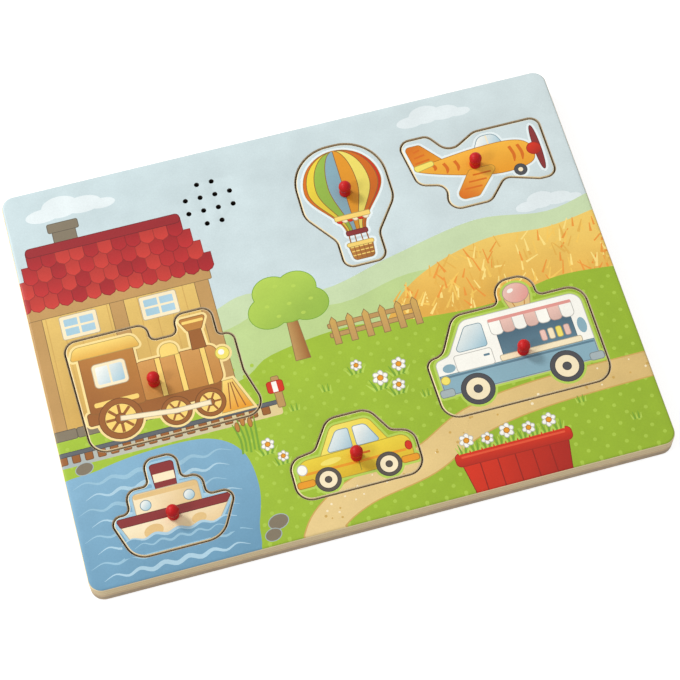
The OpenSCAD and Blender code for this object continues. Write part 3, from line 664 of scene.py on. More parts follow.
def paintPond():
    shore = blob(pond["shore"])
    paint(moved(shore, -pond["bank"]), "sand")
    paint(shore, "water", ("waterDeep", *pond["fade"]))
    for row in range(pond["waves"]):
        line = wave(-147 + 5 * (row % 2), -66 - 3 * (row % 3), -57 - pond["waveStep"] * row, 1.1, 12)
        paint(stripe(line, 2.3, 0.2, 0.2), "waterPale" if row % 2 else "waterMid")
    for x, y, across, up in pond["stones"]:
        paint(ring(x, y, across, up, 12, 18), "stone", line="stoneEdge")
    for k in range(pond["reeds"]):
        x = -61 + 2.1 * k
        reed = curve([(x, -62 + k % 2), (x + 0.6, -54), (x + 1.6 * (k - 2) * 0.5, -45 + 2 * (k % 3))], 3)
        paint(stripe(reed, 1.1, 0.5), "leaf")
    for x, y in pond["heads"]:
        lined(ring(x, y, 0.9, 2.4, 0, 12), "brown")


road = dict(middle=[(-40, -124), (-29, -107), (-8, -96), (26, -89), (54, -76), (92, -70), (156, -68.5)],
            wide=16, far=13, verge=1.4, pebbles=46, seed=5)


def paintRoad():
    middle = curve(road["middle"], 8)
    paint(stripe(middle, road["wide"] + road["verge"], road["far"] + road["verge"]), "plank")
    paint(stripe(middle, road["wide"], road["far"]), "road", ("roadDeep", (-30, -110), (150, -68)))
    dice = random.Random(road["seed"])
    for k in range(road["pebbles"]):
        x, y = middle[dice.randrange(len(middle))]
        paint(ring(x + dice.uniform(-2, 2), y + dice.uniform(-5, 5), dice.uniform(0.4, 0.8), steps=8),
              "plank" if k % 2 else "cream")


def paintDaisy(x, y, size, petals=6):
    penAt(x, y)
    away = 1.9 * size
    for k in range(petals):
        a = math.tau * k / petals + 0.3
        petal = ring(away * math.cos(a), away * math.sin(a), 1.7 * size, 1.15 * size, math.degrees(a), 12)
        lined(petal, "white")
    lined(ring(0, 0, 1.2 * size, steps=12), "orange")


def paintTuft(x, y, size, count):
    penAt(x, y)
    for k in range(count):
        foot = k - (count - 1) / 2
        lean = foot * 0.24
        tip = (7 * size * math.sin(lean) * 1.4, 7 * size * math.cos(lean) * (0.8 + 0.2 * (k % 2)))
        paint(stripe([(foot, 0), tip], 1.6 * size, 0.3), "leaf" if k % 2 else "leafPale")


flowerBox = dict(x=70, y=-114, boards=5, tufts=9, tuftStep=6.2, daisies=(
    (48, -84.5, 1.0), (58.5, -86, 0.85), (69, -84.5, 1.05), (80, -86, 0.9), (91, -84.6, 1.0)))


def paintFlowerBox():
    penAt(flowerBox["x"], flowerBox["y"])
    lined([(-24, -2), (24, -2), (27.5, 18), (-27.5, 18)], "redDeep", ("red", (20, 0), (-24, 16)))
    for k in range(flowerBox["boards"]):
        paint(rect(-19 + 9 * k, -2, -18.4 + 9 * k, 17.6), darker("redDeep", 0.86))
    lined(rect(-30, 16.5, 30, 23.5, 2.6), "red", ("redDeep", (0, 22), (0, 15)))
    paint(rect(-27, 20.6, 27, 21.7, 0.5), "redPale")
    for k in range(flowerBox["tufts"]):
        paintTuft(flowerBox["x"] - 25 + flowerBox["tuftStep"] * k, flowerBox["y"] + 23, 0.8, 5)
    for x, y, size in flowerBox["daisies"]:
        paintDaisy(x, y, size)


flowers = dict(
    daisies=((16, -40, 1.1), (27, -35, 1.0), (24, -46, 0.9), (-48, -60, 0.9), (-42, -68, 0.75),
             (6, -30, 0.8)),
    tufts=((36, -56), (-30, -46), (134, -96), (-12, -40), (110, -80)),
)


def paintMeadowFlowers():
    for x, y, size in flowers["daisies"]:
        paintTuft(x - 1, y - 6 * size, size, 7)
        paintDaisy(x, y, size)
    for x, y in flowers["tufts"]:
        paintTuft(x, y, 0.6, 5)


# pictures on the six lift-out pieces, each drawn about its own middle
def paintWheel(x, y, r, rim, hub, spokes=0):
    lined(ring(x, y, r), rim)
    paint(ring(x, y, r * 0.72), hub, line=darker(rim, 0.8))
    for k in range(spokes):
        a = math.pi * k / spokes
        dx, dy = r * 0.7 * math.cos(a), r * 0.7 * math.sin(a)
        paint(stripe([(x - dx, y - dy), (x + dx, y + dy)], r * 0.14), rim)
    lined(ring(x, y, r * 0.24, steps=16), rim)


def paintTrain():
    lined(rect(-41, -18, 34, -11.5, 1.2), "brownDeep")  # frame and cow catcher
    lined([(29, -11.5), (34, -11.5), (40.6, -28.4), (25, -28.4)], "gold", ("orange", (30, -12), (36, -28)))
    for k in range(3):
        paint(stripe([(31.5 + k, -13), (29.3 + 3.9 * k, -27.4)], 0.6), "brownDeep")
    # boiler, dome and chimney
    lined(rect(-13, -11.5, 30, 10, 4.5), "brown", ("brownPale", (0, -12), (0, 10)))
    for x in (-1.5, 9, 22):
        paint(rect(x, -11.4, x + 2.4, 9.9), "gold", line=darker("brown"))
    lined(tapered((2, 11, 9.8, 0), (2, 11, 16.6, 4)), "gold")
    lined([(18.5, 9.8), (25.5, 9.8), (25, 21), (19, 21)], "brownDeep")
    lined(tapered((18.4, 25.6, 20.6, 0.6), (15, 29, 27.6, 1)), "brown")
    paint(rect(16.4, 24.6, 27.6, 26.2, 0.5), "gold")
    lined(rect(-39, -12, -11, 20, 1.5), "brown", ("brownDeep", (-12, 20), (-36, -12)))  # cab
    lined(rect(-33.5, 1.5, -16.5, 14.5, 2), "cream")
    paint(rect(-32, 3, -18, 13, 1.2), "glass", ("white", (-20, 2), (-32, 14)))
    paint(rect(-25.6, 2.6, -24.6, 13.4), "cream")
    paint(rect(-36.5, -9, -13.5, -6.4, 1), "gold")
    lined(tapered((-43, -7, 19.4, 1), (-40.5, -9.5, 26.2, 4)), "gold", ("wheatDeep", (0, 26), (0, 19)))
    paintWheel(-25, -17.6, 11, "brownDeep", "gold", 4)
    for x in (3, 20.5):
        paintWheel(x, -21, 7.6, "brownDeep", "gold", 3)
    lined(stripe([(-25, -17.6), (3, -21), (20.5, -21)], 2.2), "cream")
    lined(ring(32.6, 4, 3.4), "yellowPale")  # lamp
    paint(ring(32.2, 4.6, 1.6, steps=14), "white")


def paintVan():
    lined(tapered((5.2, 14.8, 19, 0), (3, 17, 27, 1)), "tan")  # the big ice on the roof
    for dx in (-2.4, 2.4):
        paint(stripe([(10 + dx, 20.5), (10 + dx * 1.7, 26.6)], 0.5), "brown")
    lined(ring(10, 28.6, 6.6, 5.4), "pink", ("pinkDeep", (6, 33), (16, 25)))
    paint(ring(7.6, 30.4, 1.8, 1.1, 20, 12), "white")
    lined(rounded([(-41, -18, 4), (41, -18, 4), (41, 20.5, 6), (-22, 20.5, 6), (-33, 3, 5), (-41, 1, 3)]),
          "white")
    lined(tapered((-40.6, 40.6, -17.6, 3.6), (-40.6, 40.6, -7, 0)), "blue")
    paint(rect(-40.4, -8.6, 40.4, -7.4), "blueDeep")
    lined(rounded([(-29.5, 4, 1.5), (-12.5, 4, 1.5), (-12.5, 17, 1.5), (-21, 17, 3)]), "glass",
          ("white", (-14, 4), (-26, 18)))
    lined(rect(-31, -6.6, -11.5, 2.2, 1.2), "white")
    paint(rect(-16, -1.6, -12.8, -0.4, 0.4), "blueDeep")
    lined(rect(-6, -4.6, 33, 10, 1.2), "blueDeep", ("blueDark", (0, -4), (0, 10)))  # hatch with its goods
    for k, colour in enumerate(("pink", "cream", "yellowPale", "pink")):
        lined(rect(15.5 + 4.2 * k, -1.2, 18 + 4.2 * k, 4.4, 0.8), colour)
    lined(rect(-8, -6.4, 35, -3.6, 0.8), "cream")
    for k in range(7):  # awning
        x = -8.5 + 6.3 * k
        flap = tapered((x, x + 6.3, 8.4, 2.4), (x, x + 6.3, 16.4, 0))
        lined(flap, "pink" if k % 2 else "white", (darker("pink", 0.92), (x, 16), (x, 9)) if k % 2 else None)
    paint(rect(-8.6, 15.8, 35.8, 17.6, 0.5), "pinkDeep")
    for x, y, across, up in ((-35, -3.5, 3.4, 2.4), (37.4, 2, 2.4, 4.5)):
        paint(ring(x, y, across, up, steps=16), "blue")
    lined(ring(-38.6, -9.6, 2.1), "yellowPale")
    for x in (-43, 36):
        lined(rect(x, -18.4, x + 7, -14.6, 1.2), "stoneEdge")
    for x in (-24, 23):
        paintWheel(x, -18, 8.4, "tyre", "cream")


def paintPlane():
    lined(rounded([(-34, 4, 1), (-18, 6, 1), (-28.6, 19, 2), (-36.5, 19, 2)]), "orange",
          ("orangeDeep", (-20, 6), (-36, 18)))  # fin
    for k in range(3):
        paint(stripe([(-33.6 + 0.4 * k, 8.4 + 3.4 * k), (-25.4 - 1.9 * k, 9.4 + 3.4 * k)], 1.1), "orangeDeep")
    lined(tapered((-1, 15, 8, 0), (3, 12, 15.6, 5)), "glass", ("white", (14, 8), (2, 15)))
    paint(stripe([(7.4, 8), (7.2, 15.4)], 0.8), "cream")
    lined(blob([(-34, 5.6), (-20, 7.4), (-2, 9.2), (16, 9.4), (26, 6.6), (29.4, 0), (26, -6.6), (10, -8.6),
                (-10, -4.6), (-30, 2)]), "orange", ("orangePale", (0, -8), (0, 9)))
    for x, y, tall in ((-25, 3.6, 2.2), (-19, 1.4, 3.6), (-13, 1.4, 3.6), (17.5, 0.4, 5.4), (22, 0.4, 5.4)):
        line = curve([(x, y + tall), (x + 1.2, y), (x + 0.4, y - tall * 0.8)], 4)
        paint(stripe(line, 1.8, 0.6), "orangeDeep")
    lined(rounded([(-34, 3.4, 1.2), (-24, 5.4, 1.2), (-24.5, 8, 1), (-35, 6.6, 1)]), "yellowPale")
    lined(rounded([(-7, -2.6, 2), (-19, -18.6, 3), (-6, -18.6, 3), (9, -2.6, 2)]), "orangePale",
          ("orangeDeep", (0, -4), (-12, -18)))  # wing
    for k in range(3):
        paint(stripe([(-6 - 3.2 * k, -6 - 3.6 * k), (4 - 3.4 * k, -6 - 3.6 * k)], 1.0), "orangeDeep")
    lined(ring(19.5, -9.4, 3.2), "tyre")
    paint(ring(19.5, -9.4, 1.3, steps=12), "cream")
    lined(ring(32, 1.4, 1.7, 13.4), "maroon")  # propeller
    lined(ring(30, 1.2, 3.6, 3.4), "red", ("redDeep", (29, 4), (32, -2)))


balloon = dict(top=32.0, widest=11, low=-18.0, wide=20.6, waist=5.0, scallops=6, gores=(
    "orangeDeep", "yellow", "green", "blue", "orange", "yellowPale", "orangeDeep", "red"))


def balloonHalf(y):  # half the width of the envelope at a height
    b = balloon
    if y > b["widest"]:
        return b["wide"] * math.sqrt(max(0.0, 1 - ((y - b["widest"]) / (b["top"] - b["widest"])) ** 2))
    t = (b["widest"] - y) / (b["widest"] - b["low"])
    return b["waist"] + (b["wide"] - b["waist"]) * (math.cos(math.pi * t) + 1) / 2


def balloonSeam(share, heights):  # share is 1 at the right side and -1 at the left
    return [(share * balloonHalf(y), y) for y in heights]


def paintBalloon():
    b = balloon
    heights = [b["low"] + (b["widest"] - b["low"]) * k / 14 for k in range(14)]
    heights += [b["widest"] + (b["top"] - b["widest"]) * math.sin(math.pi / 2 * k / 12) for k in range(13)]
    up, down = heights[:-1], heights[-2::-1]
    for x in (-1, 1):
        paint(stripe([(x * 4.6, -17), (x * 4.9, -25)], 0.7), "brownDeep")
        paint(stripe([(x * 1.6, -17), (x * 1.8, -25)], 0.6), "brownDeep")
    lined(balloonSeam(1, heights) + balloonSeam(-1, down), "orange")
    count = len(b["gores"])
    shares = [math.sin(math.pi * (k / count - 0.5)) for k in range(count + 1)]
    for left, right, colour in zip(shares, shares[1:], b["gores"]):
        gore = balloonSeam(right, up) + balloonSeam(left, down)
        paint(gore, colour, (darker(colour, 0.88), (-8, 26), (14, -12)))
    for share in shares[1:-1]:
        paint(stripe(balloonSeam(share, up), 0.4), darker("brown"))
    for k in range(b["scallops"]):
        lined(ring(-8.4 + 2.8 * k + 1.4, -9.2, 1.7, 2.1, steps=14), "cream" if k % 2 else "red")
    lined(rect(-balloonHalf(-8) - 0.2, -9.6, balloonHalf(-8) + 0.2, -7.2, 0.5), "gold")
    lined(rect(-5.6, -19.4, 5.6, -17, 0.8), "maroon")
    lined(tapered((-5.4, 5.4, -34, 2), (-6.4, 6.4, -24.6, 0.8)), "brown", ("brownDeep", (-4, -25), (5, -34)))
    for k in range(3):
        paint(rect(-5.6, -31.8 + 2.4 * k, 5.6, -31.2 + 2.4 * k), "gold")
    for k in range(4):
        paint(rect(-4 + 2.5 * k, -33.4, -3.5 + 2.5 * k, -26), "brownDeep")
    lined(rect(-7, -26, 7, -24, 0.9), "gold")


def paintCar():
    lined(tapered((-16.5, 19, 1, 1), (-7.5, 11.5, 16, 5)), "yellow", ("yellowPale", (10, 2), (-8, 16)))
    for corners in ([(-12.6, 2.6, 1), (0.4, 2.6, 1), (0.4, 13, 1), (-5.6, 13, 3)],
                    [(3, 2.6, 1), (14.6, 2.6, 1), (9.4, 13, 3), (3, 13, 1)]):
        lined(rounded(corners), "glass", ("white", (corners[1][0], 3), (corners[0][0], 13)))
    lined(rounded([(-29, -12, 4), (29, -12, 4), (29, 2.4, 5), (-29, 1.2, 6)]), "yellow",
          ("yellowDeep", (0, 2), (0, -12)))
    paint(rect(-26, -6.6, 26, -5.2, 0.5), "orange")
    paint(stripe([(1.6, 1.4), (1.6, -10.8)], 0.5), darker("yellow", 0.7))
    paint(rect(4.4, -2.6, 8.4, -1.4, 0.5), "orangeDeep")
    paint(ring(-12, -2.2, 5.4, 1.6, 4, 18), "yellowPale")
    lined(ring(-27, -3.2, 2.3, 2.6), "white")
    lined(rounded([(-31, -12.6, 1.2), (-22.5, -12.6, 1.2), (-22.5, -9.4, 1), (-31, -9.4, 1.2)]), "orange")
    lined(rounded([(22.5, -12.6, 1.2), (31, -12.6, 1.2), (31, -9.4, 1.2), (22.5, -9.4, 1)]), "orange")
    lined(ring(27.6, -4, 1.5, 2.2, steps=16), "red")
    for x in (-15.6, 15.6):
        paintWheel(x, -11.2, 6.2, "tyreWarm", "cream")


def paintBoat():
    lined(tapered((-6, 4.2, 7, 0), (-6.8, 5, 21.6, 1.5)), "maroon")  # funnel and cabin
    paint(rect(-6.2, 12, 4.5, 16.4), "cream")
    lined(tapered((-18.4, 14.4, -3, 0), (-18.4, 14.4, 8.4, 2)), "cream", ("tan", (-16, 8), (14, -3)))
    paint(rect(-18.2, 5.6, 14.2, 8.2, 1), "tan")
    for x in (-13, 9):
        lined(ring(x, 1.6, 2.5), "glass", ("white", (x + 2, 0), (x - 2, 4)))
    lined(rounded([(-28.6, -3.2, 1), (-22, -19.6, 5), (17, -19.6, 6), (29, -3.2, 1)]), "cream",
          ("creamDeep", (0, -4), (4, -19)))  # hull
    lined(rounded([(-29, -2.6, 1), (-27.4, -6.8, 1), (26, -6.8, 1), (29.4, -2.6, 1)]), "maroon")
    for x, y, across in ((-12, -12.4, 5), (11, -11.6, 3.8)):
        paint(ring(x, y, across, across * 0.7, 10, 18), "tan")
    surface = wave(-29, 29, -14.6, 0.9, 10)
    ends = [(x - pen["x"], y - pen["y"]) for x, y in pond["fade"]]  # the water fades as it does in the pond
    paint([(-29, -23), (29, -23)] + surface[::-1], "water", ("waterDeep", *ends))
    paint(stripe(surface, 1.5, 0.3, 0.3), "waterPale")
    paint(stripe([(x * 0.8, y - 3.6) for x, y in surface], 1.2, 0.2, 0.2), "waterMid")


motifs = dict(  # knob is where the knob stands in the picture
    train=dict(draw=paintTrain, knob=(-4.6, -3), glow=(243, 217, 148)),
    van=dict(draw=paintVan, knob=(4, -4), glow=(178, 205, 86)),
    plane=dict(draw=paintPlane, knob=(-3, 0), glow=(226, 236, 236)),
    balloon=dict(draw=paintBalloon, knob=(0, 6), glow=(226, 236, 236)),
    car=dict(draw=paintCar, knob=(1, -3), glow=(178, 205, 86)),
    boat=dict(draw=paintBoat, knob=(-1, -7), glow=(156, 195, 214)),
)
glowWide = 1.2


def paintMotif(name):
    art = motifs[name]
    low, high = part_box("knob_" + name)
    middle = (low + high) / 2 / mm
    penAt(middle.x - art["knob"][0], middle.y - art["knob"][1])
    first = len(patches)
    art["draw"]()
    own = patches[first:]
    patches[first:] = [dict(outline=moved(p["outline"], -glowWide), first=ink(art["glow"]), second=None)
                       for p in own if "rim" in p] + own  # pale rim under the whole drawing


for draw in (paintCountry, paintStation, paintTrack, paintTree, paintFence, paintPond, paintRoad,
             paintFlowerBox, paintMeadowFlowers):
    penAt(0, 0)
    draw()
for motif in motifs:
    paintMotif(motif)
print("picture:", len(patches), "patches")


# small helpers for meshes
def bridge(bm, lower, upper):  # faces from one closed row of points to the next
    corners = zip(lower, lower[1:] + lower[:1], upper[1:] + upper[:1], upper)
    return [bm.faces.new(four) for four in corners]


def loopsOf(edges):  # closed loops of the edges that have a face on one side only
    following = {a: b for a, b in edges if (b, a) not in edges}
    loops = []
    while following:
        start = min(following)
        loop, here = [start], following.pop(start)
        while here != start:
            loop.append(here)
            here = following.pop(here)
        loops.append(loop)
    return loops


def placePiece(name, bm, looks, node, sharp=40, smooth=True):  # makes a piece that rides with a CAD node
    mesh = bpy.data.meshes.new(name)
    bm.to_mesh(mesh)
    bm.free()
    for look in looks:
        mesh.materials.append(finish[look])
    if smooth:
        mesh.shade_smooth()
    mesh.set_sharp_from_angle(angle=math.radians(sharp))
    made = newObject(name, mesh)
    if smooth:
        made.modifiers.new("evenShade", "WEIGHTED_NORMAL").keep_sharp = True
    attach(made, bodyOf[node])
    return made


# the board's face and its pieces: printed on top, with rounded rims and sawn walls
plate = dict(low=9.0, high=15.0, boardEdge=1.4, recessEdge=0.5, pieceEdge=0.7, holeEdge=0.2, pegFloor=10.1,
             smallHole=6.0, pocketTop=13.7, steps=4, boardInk=2, otherInk=1, printWeld=1e-4, floorWeld=1e-6,
             looks=("printedInk", "plyEdge", "cutEdge", "holeWallPaintedShade"))
printed, ply, cut, holeShade = range(4)  # places in the list of looks


def outlinesAt(node, height):  # of a CAD node's flat faces at a height, with the wood on their left
    mesh = cadNodes[node].data
    spots = [tuple(round(c / mm, 3) for c in v.co) for v in mesh.vertices]
    edges = set()
    for face in mesh.polygons:
        corners = [spots[i] for i in face.vertices]
        if all(abs(c[2] - height) < 0.02 for c in corners):
            flat = [c[:2] for c in corners]
            flat = flat if area(flat) > 0 else flat[::-1]
            edges.update(zip(flat, flat[1:] + flat[:1]))
    return sorted(loopsOf(edges), key=area, reverse=True)


def isSmall(loop):
    return max(x for x, y in loop) - min(x for x, y in loop) < plate["smallHole"]


def edgeOf(name, loop):
    if isSmall(loop):
        return plate["holeEdge"]
    if name != "face_board":
        return plate["pieceEdge"]
    return plate["boardEdge"] if area(loop) > 0 else plate["recessEdge"]


def cutPrint(plates):  # all the print lies in one plane, so one cut of that plane serves every plate
    outlines = [patch["outline"] for patch in patches]
    owners = {}
    for name, loops in plates.items():
        owners[name] = []
        for loop in loops:
            edge = moved(loop, edgeOf(name, loop))
            owners[name].append(len(outlines))
            outlines.append(edge if area(edge) > 0 else edge[::-1])
    spots, faces = [], []
    for outline in outlines:
        faces.append(list(range(len(spots), len(spots) + len(outline))))
        spots.extend(Vector(p) for p in outline)
    spots, _, triangles, _, _, inside = delaunay_2d_cdt(spots, [], faces, 0, plate["printWeld"])
    sheets = {name: [] for name in plates}
    for corners, ids in zip(triangles, inside):
        held = set(ids)
        for name, loops in owners.items():
            if loops[0] in held and not held.intersection(loops[1:]):
                patch = patches[max(i for i in ids if i < len(patches))]
                sheets[name].append((corners, [patchInk(patch, spots[c]) for c in corners]))
    return spots, sheets


def segmentOf(spot, outline):  # how far a point lies from an outline, on which stretch and how far along it
    best = None
    for k, start in enumerate(outline):
        along = Vector(outline[(k + 1) % len(outline)]) - Vector(start)
        off = Vector(spot) - Vector(start)
        share = max(0.0, min(1.0, off.dot(along) / along.length_squared))
        away = (off - along * share).length
        if best is None or away < best[0]:
            best = (away, k, share)
    return best


def makePlate(name, loops, spots, sheet):
    bm = bmesh.new()
    inkLayer = bm.loops.layers.float_color.new("ink")
    isBoard = name == "face_board"
    verts, edges = {}, {}
    for corners, colours in sheet:
        for c in corners:
            if c not in verts:
                verts[c] = bm.verts.new((spots[c].x * mm, spots[c].y * mm, plate["high"] * mm))
        face = bm.faces.new([verts[c] for c in corners])
        for k, corner in enumerate(face.loops):
            corner[inkLayer] = colours[k]
            edges[corners[k], corners[(k + 1) % 3]] = (colours[k], colours[(k + 1) % 3])
    rims = [(moved(own, edgeOf(name, own)), own) for own in loops]
    floorRings = []
    for loop in loopsOf(edges):
        flat = [tuple(spots[c]) for c in loop]
        blind = isSmall(flat) and not isBoard  # the peg's hole stops inside the piece
        rim, own = min(rims, key=lambda pair: segmentOf(flat[0], pair[0])[0])
        woods = (ply, cut)
        if isBoard:
            # the walls of the sound holes carry painted shade
            woods = (ply, ply) if area(own) > 0 else (holeShade, holeShade) if isSmall(flat) else (cut, cut)
        inks = [edges[pair] for pair in zip(loop, loop[1:] + loop[:1])]
        last = dropWall(bm, [verts[c] for c in loop], inks, [segmentOf(p, rim) for p in flat], own,
                        edgeOf(name, own), plate["pegFloor"] if blind else plate["low"], woods)
        if blind:
            bm.faces.new(last[::-1]).material_index = ply
        else:
            floorRings.append(last)
    if isBoard:
        floorRings.append(boxPocket(bm))
    fillFloor(bm, floorRings)
    bmesh.ops.recalc_face_normals(bm, faces=bm.faces)
    made = placePiece(name + "Print", bm, plate["looks"], name, smooth=False)
    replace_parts(made, name)


def dropWall(bm, top, inks, places, own, edge, bottom, woods):  # rounds the edge off and runs the wall down
    inkLayer = bm.loops.layers.float_color["ink"]
    inked = plate["boardInk"] if woods[1] == ply else plate["otherInk"]  # steps of the rim that carry print
    rows = [(edge * math.sin(a), plate["high"] - edge * (1 - math.cos(a)))
            for a in (math.pi / 2 * k / plate["steps"] for k in range(1, plate["steps"] + 1))]
    rows.append((edge, bottom))
    above = top
    for step, (out, z) in enumerate(rows):
        row = [Vector(p) for p in moved(own, edge - out)]
        line = [row[k].lerp(row[(k + 1) % len(row)], share) for _, k, share in places]
        under = [bm.verts.new((p.x * mm, p.y * mm, z * mm)) for p in line]
        for face, (first, second) in zip(bridge(bm, under, above), inks):
            face.material_index = printed if step < inked else woods[0] if step < plate["steps"] else woods[1]
            face.smooth = True
            for corner, colour in zip(face.loops, (first, second, second, first)):
                corner[inkLayer] = colour
        above = under
    return above


def boxPocket(bm):  # the battery box reaches up into the face board from below
    outline = outlinesAt("face_board", plate["pocketTop"])[0]
    low, high = ([bm.verts.new((x * mm, y * mm, z * mm)) for x, y in outline]
                 for z in (plate["low"], plate["pocketTop"]))
    for face in bridge(bm, low, high) + [bm.faces.new(high)]:
        face.material_index = ply
    return low


def fillFloor(bm, rings):
    flat = [v for row in rings for v in row]
    spots = [Vector((v.co.x / mm, v.co.y / mm)) for v in flat]
    faces, sizes = [], []
    for row in rings:
        first = sum(len(face) for face in faces)
        index = list(range(first, first + len(row)))
        size = area([tuple(spots[i]) for i in index])
        faces.append(index if size > 0 else index[::-1])
        sizes.append(abs(size))
    outer = sizes.index(max(sizes))
    _, _, triangles, origin, _, inside = delaunay_2d_cdt(spots, [], faces, 0, plate["floorWeld"])
    for corners, ids in zip(triangles, inside):
        if list(ids) == [outer]:
            bm.faces.new([flat[origin[c][0]] for c in corners][::-1]).material_index = ply


plates = {name: outlinesAt(name, plate["high"]) for name in ["face_board"] + ["piece_" + m for m in motifs]}
spots, sheets = cutPrint(plates)
for name in plates:
    makePlate(name, plates[name], spots, sheets[name])
print("plates:", len(plates), "with", sum(len(s) for s in sheets.values()), "printed faces")


# turned knobs with their pegs
knobLook = dict(turns=40, head=3.3, high=9.5, neck=2.4, foot=3.0, footHigh=2.2, footEase=0.2, footRows=8,
                peg=2.0, pegLong=4.8, headRows=14)


def makeKnob(motif):
    k = knobLook
    flat = k["foot"] - k["footEase"]
    profile = [(k["peg"], -k["pegLong"]), (k["peg"], 0.0), (flat, 0.0)]
    half = k["footHigh"] / 2
    for row in range(1, k["footRows"]):  # rounded foot, drawn in to the neck
        a = math.pi * row / k["footRows"]
        inner = flat if a < math.pi / 2 else k["neck"]
        profile.append((inner + (k["foot"] - inner) * math.sin(a), half - half * math.cos(a)))
    start = math.asin(k["neck"] / k["head"])
    for row in range(k["headRows"]):
        a = start + (math.pi - start) * row / k["headRows"]
        profile.append((k["head"] * math.sin(a), k["high"] - k["head"] - k["head"] * math.cos(a)))
    bm = bmesh.new()
    angles = [math.tau * n / k["turns"] for n in range(k["turns"])]
    rows = [[bm.verts.new((r * mm * math.cos(t), r * mm * math.sin(t), z * mm)) for t in angles]
            for r, z in profile]
    tip = bm.verts.new((0, 0, k["high"] * mm))
    for lower, upper in zip(rows, rows[1:]):
        for face in bridge(bm, lower, upper):
            face.smooth = True
    for n in range(k["turns"]):
        bm.faces.new((rows[-1][n], rows[-1][(n + 1) % k["turns"]], tip)).smooth = True
    bm.faces.new(rows[0][::-1])
    low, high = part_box("knob_" + motif)
    middle = Vector(((low.x + high.x) / 2, (low.y + high.y) / 2, plate["high"] * mm))
    bmesh.ops.translate(bm, verts=bm.verts, vec=middle)
    made = placePiece("turnedKnob_" + motif, bm, ["knobLacquer"], "knob_" + motif, sharp=50, smooth=False)
    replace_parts(made, "knob_" + motif)


for motif in motifs:
    makeKnob(motif)
print("knobs turned")


# CAD pieces with their sharp edges eased, only those at a level or of a least length where these are given
easing = dict(
    core_board=dict(look="coreFibre", edge=2.8, level=0.0, least=0.01, outer=True, steps=6),
    back_panel=dict(look="panelHardboard", edge=0.25, level=0.5, least=0.01),
    panel_screws=dict(look="zincSteel", edge=0.15, level=0.5),
    board_screws=dict(look="zincSteel", edge=0.15, level=4.1),
    door_screw=dict(look="zincSteel", edge=0.15, level=0.6),
    battery_door=dict(look="doorPlastic", edge=0.35, level=0.5, least=2.0),
    battery_box=dict(look="boxPlastic", edge=0.15, least=3.0),
    battery_1=dict(look="firstCell", edge=0.4),
    battery_2=dict(look="secondCell", edge=0.4),
    contact_bridge=dict(look="nickelPlate", edge=0.1),
    contact_plus=dict(look="nickelPlate", edge=0.1),
    contact_minus=dict(look="nickelPlate", edge=0.1),
    capacitor=dict(look="capacitorResin", edge=0.25),
    resistors=dict(look="resistorCeramic", edge=0.1),
    circuit_board=dict(look="circuitMask", edge=0.12, least=3.0),
    speaker_terminal=dict(look="terminalBoard", edge=0.15),
    speaker_magnet=dict(look="magnetIron", edge=0.25),
)
sharpCorner, flatCorner = math.radians(40), math.radians(0.5)


def facesOut(edge):  # true where one of its faces stands upright and looks away from the board's middle
    middle = (edge.verts[0].co + edge.verts[1].co) / 2
    return any(abs(f.normal.z) < 0.1 and f.normal.x * middle.x + f.normal.y * middle.y > 0
               for f in edge.link_faces)


def easeEdges(node, look, edge, level=None, least=0.0, outer=False, steps=2):
    bm = bmesh.new()
    bm.from_mesh(cadNodes[node].data)
    bmesh.ops.remove_doubles(bm, verts=bm.verts, dist=1e-6)
    bmesh.ops.dissolve_limit(bm, angle_limit=flatCorner, verts=bm.verts, edges=bm.edges)
    picked = [e for e in bm.edges if e.is_manifold and e.calc_face_angle(0) > sharpCorner]
    if level is not None:
        picked = [e for e in picked if all(abs(v.co.z - level * mm) < 1e-5 for v in e.verts)]
    picked = [e for e in picked if e.calc_length() >= least * mm and (facesOut(e) or not outer)]
    bmesh.ops.bevel(bm, geom=picked, offset=edge * mm, segments=steps, profile=0.5, affect="EDGES",
                    clamp_overlap=not least)
    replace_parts(placePiece("eased_" + node, bm, [look], node), node)


for node, row in easing.items():
    easeEdges(node, **row)
print("edges eased on", len(easing), "pieces")


# tubes along a route: the leads in their channels and the contact springs
def tubeAlong(bm, route, radius, sides):
    spots = [Vector(p) for p in route]
    rings = []
    for k, here in enumerate(spots):
        ahead = (spots[min(k + 1, len(spots) - 1)] - spots[max(k - 1, 0)]).normalized()
        up = Vector((0, 0, 1)) if abs(ahead.z) < 0.95 else Vector((1, 0, 0))
        right = ahead.cross(up).normalized()
        over = right.cross(ahead)
        rings.append([bm.verts.new((here + (right * math.cos(a) + over * math.sin(a)) * radius) * mm)
                      for a in (math.tau * n / sides for n in range(sides))])
    for first, second in zip(rings, rings[1:]):
        for n in range(sides):
            after = (n + 1) % sides
            bm.faces.new((first[n], second[n], second[after], first[after]))
    bm.faces.new(rings[0])
    bm.faces.new(rings[-1][::-1])


leads = dict(high=4.6, radius=0.6, half=0.9, under=2.0, sides=14, bendSteps=5, bendShare=0.4, boxMiddle=-88)
leadRuns = dict(  # short is how far before its end a run stops
    sensor_leads=dict(piece="sensorLeadPairs", look="redLead", short=0.35, pairs=[
        ((-24, -14), (-86, -14)), ((20, -20), (89, -46)), ((20, -2), (104, 61)), ((13.4, 1), (30, 57)),
        ((-7.94, -29), (-5, -80)), ((-24, -26), (-98, -82))]),
    speaker_leads=dict(piece="speakerLeadPair", look="blackLead", short=14.6, pairs=[
        ((-14.1, 1), (-43.4, 81.6))]),
    battery_leads=dict(piece="batteryLeadPair", look="blackLead", tags=[(68.25, 5.35), (69.85, 5.35)], pairs=[
        ((20, -27.05), (64.45, -88))]),
)


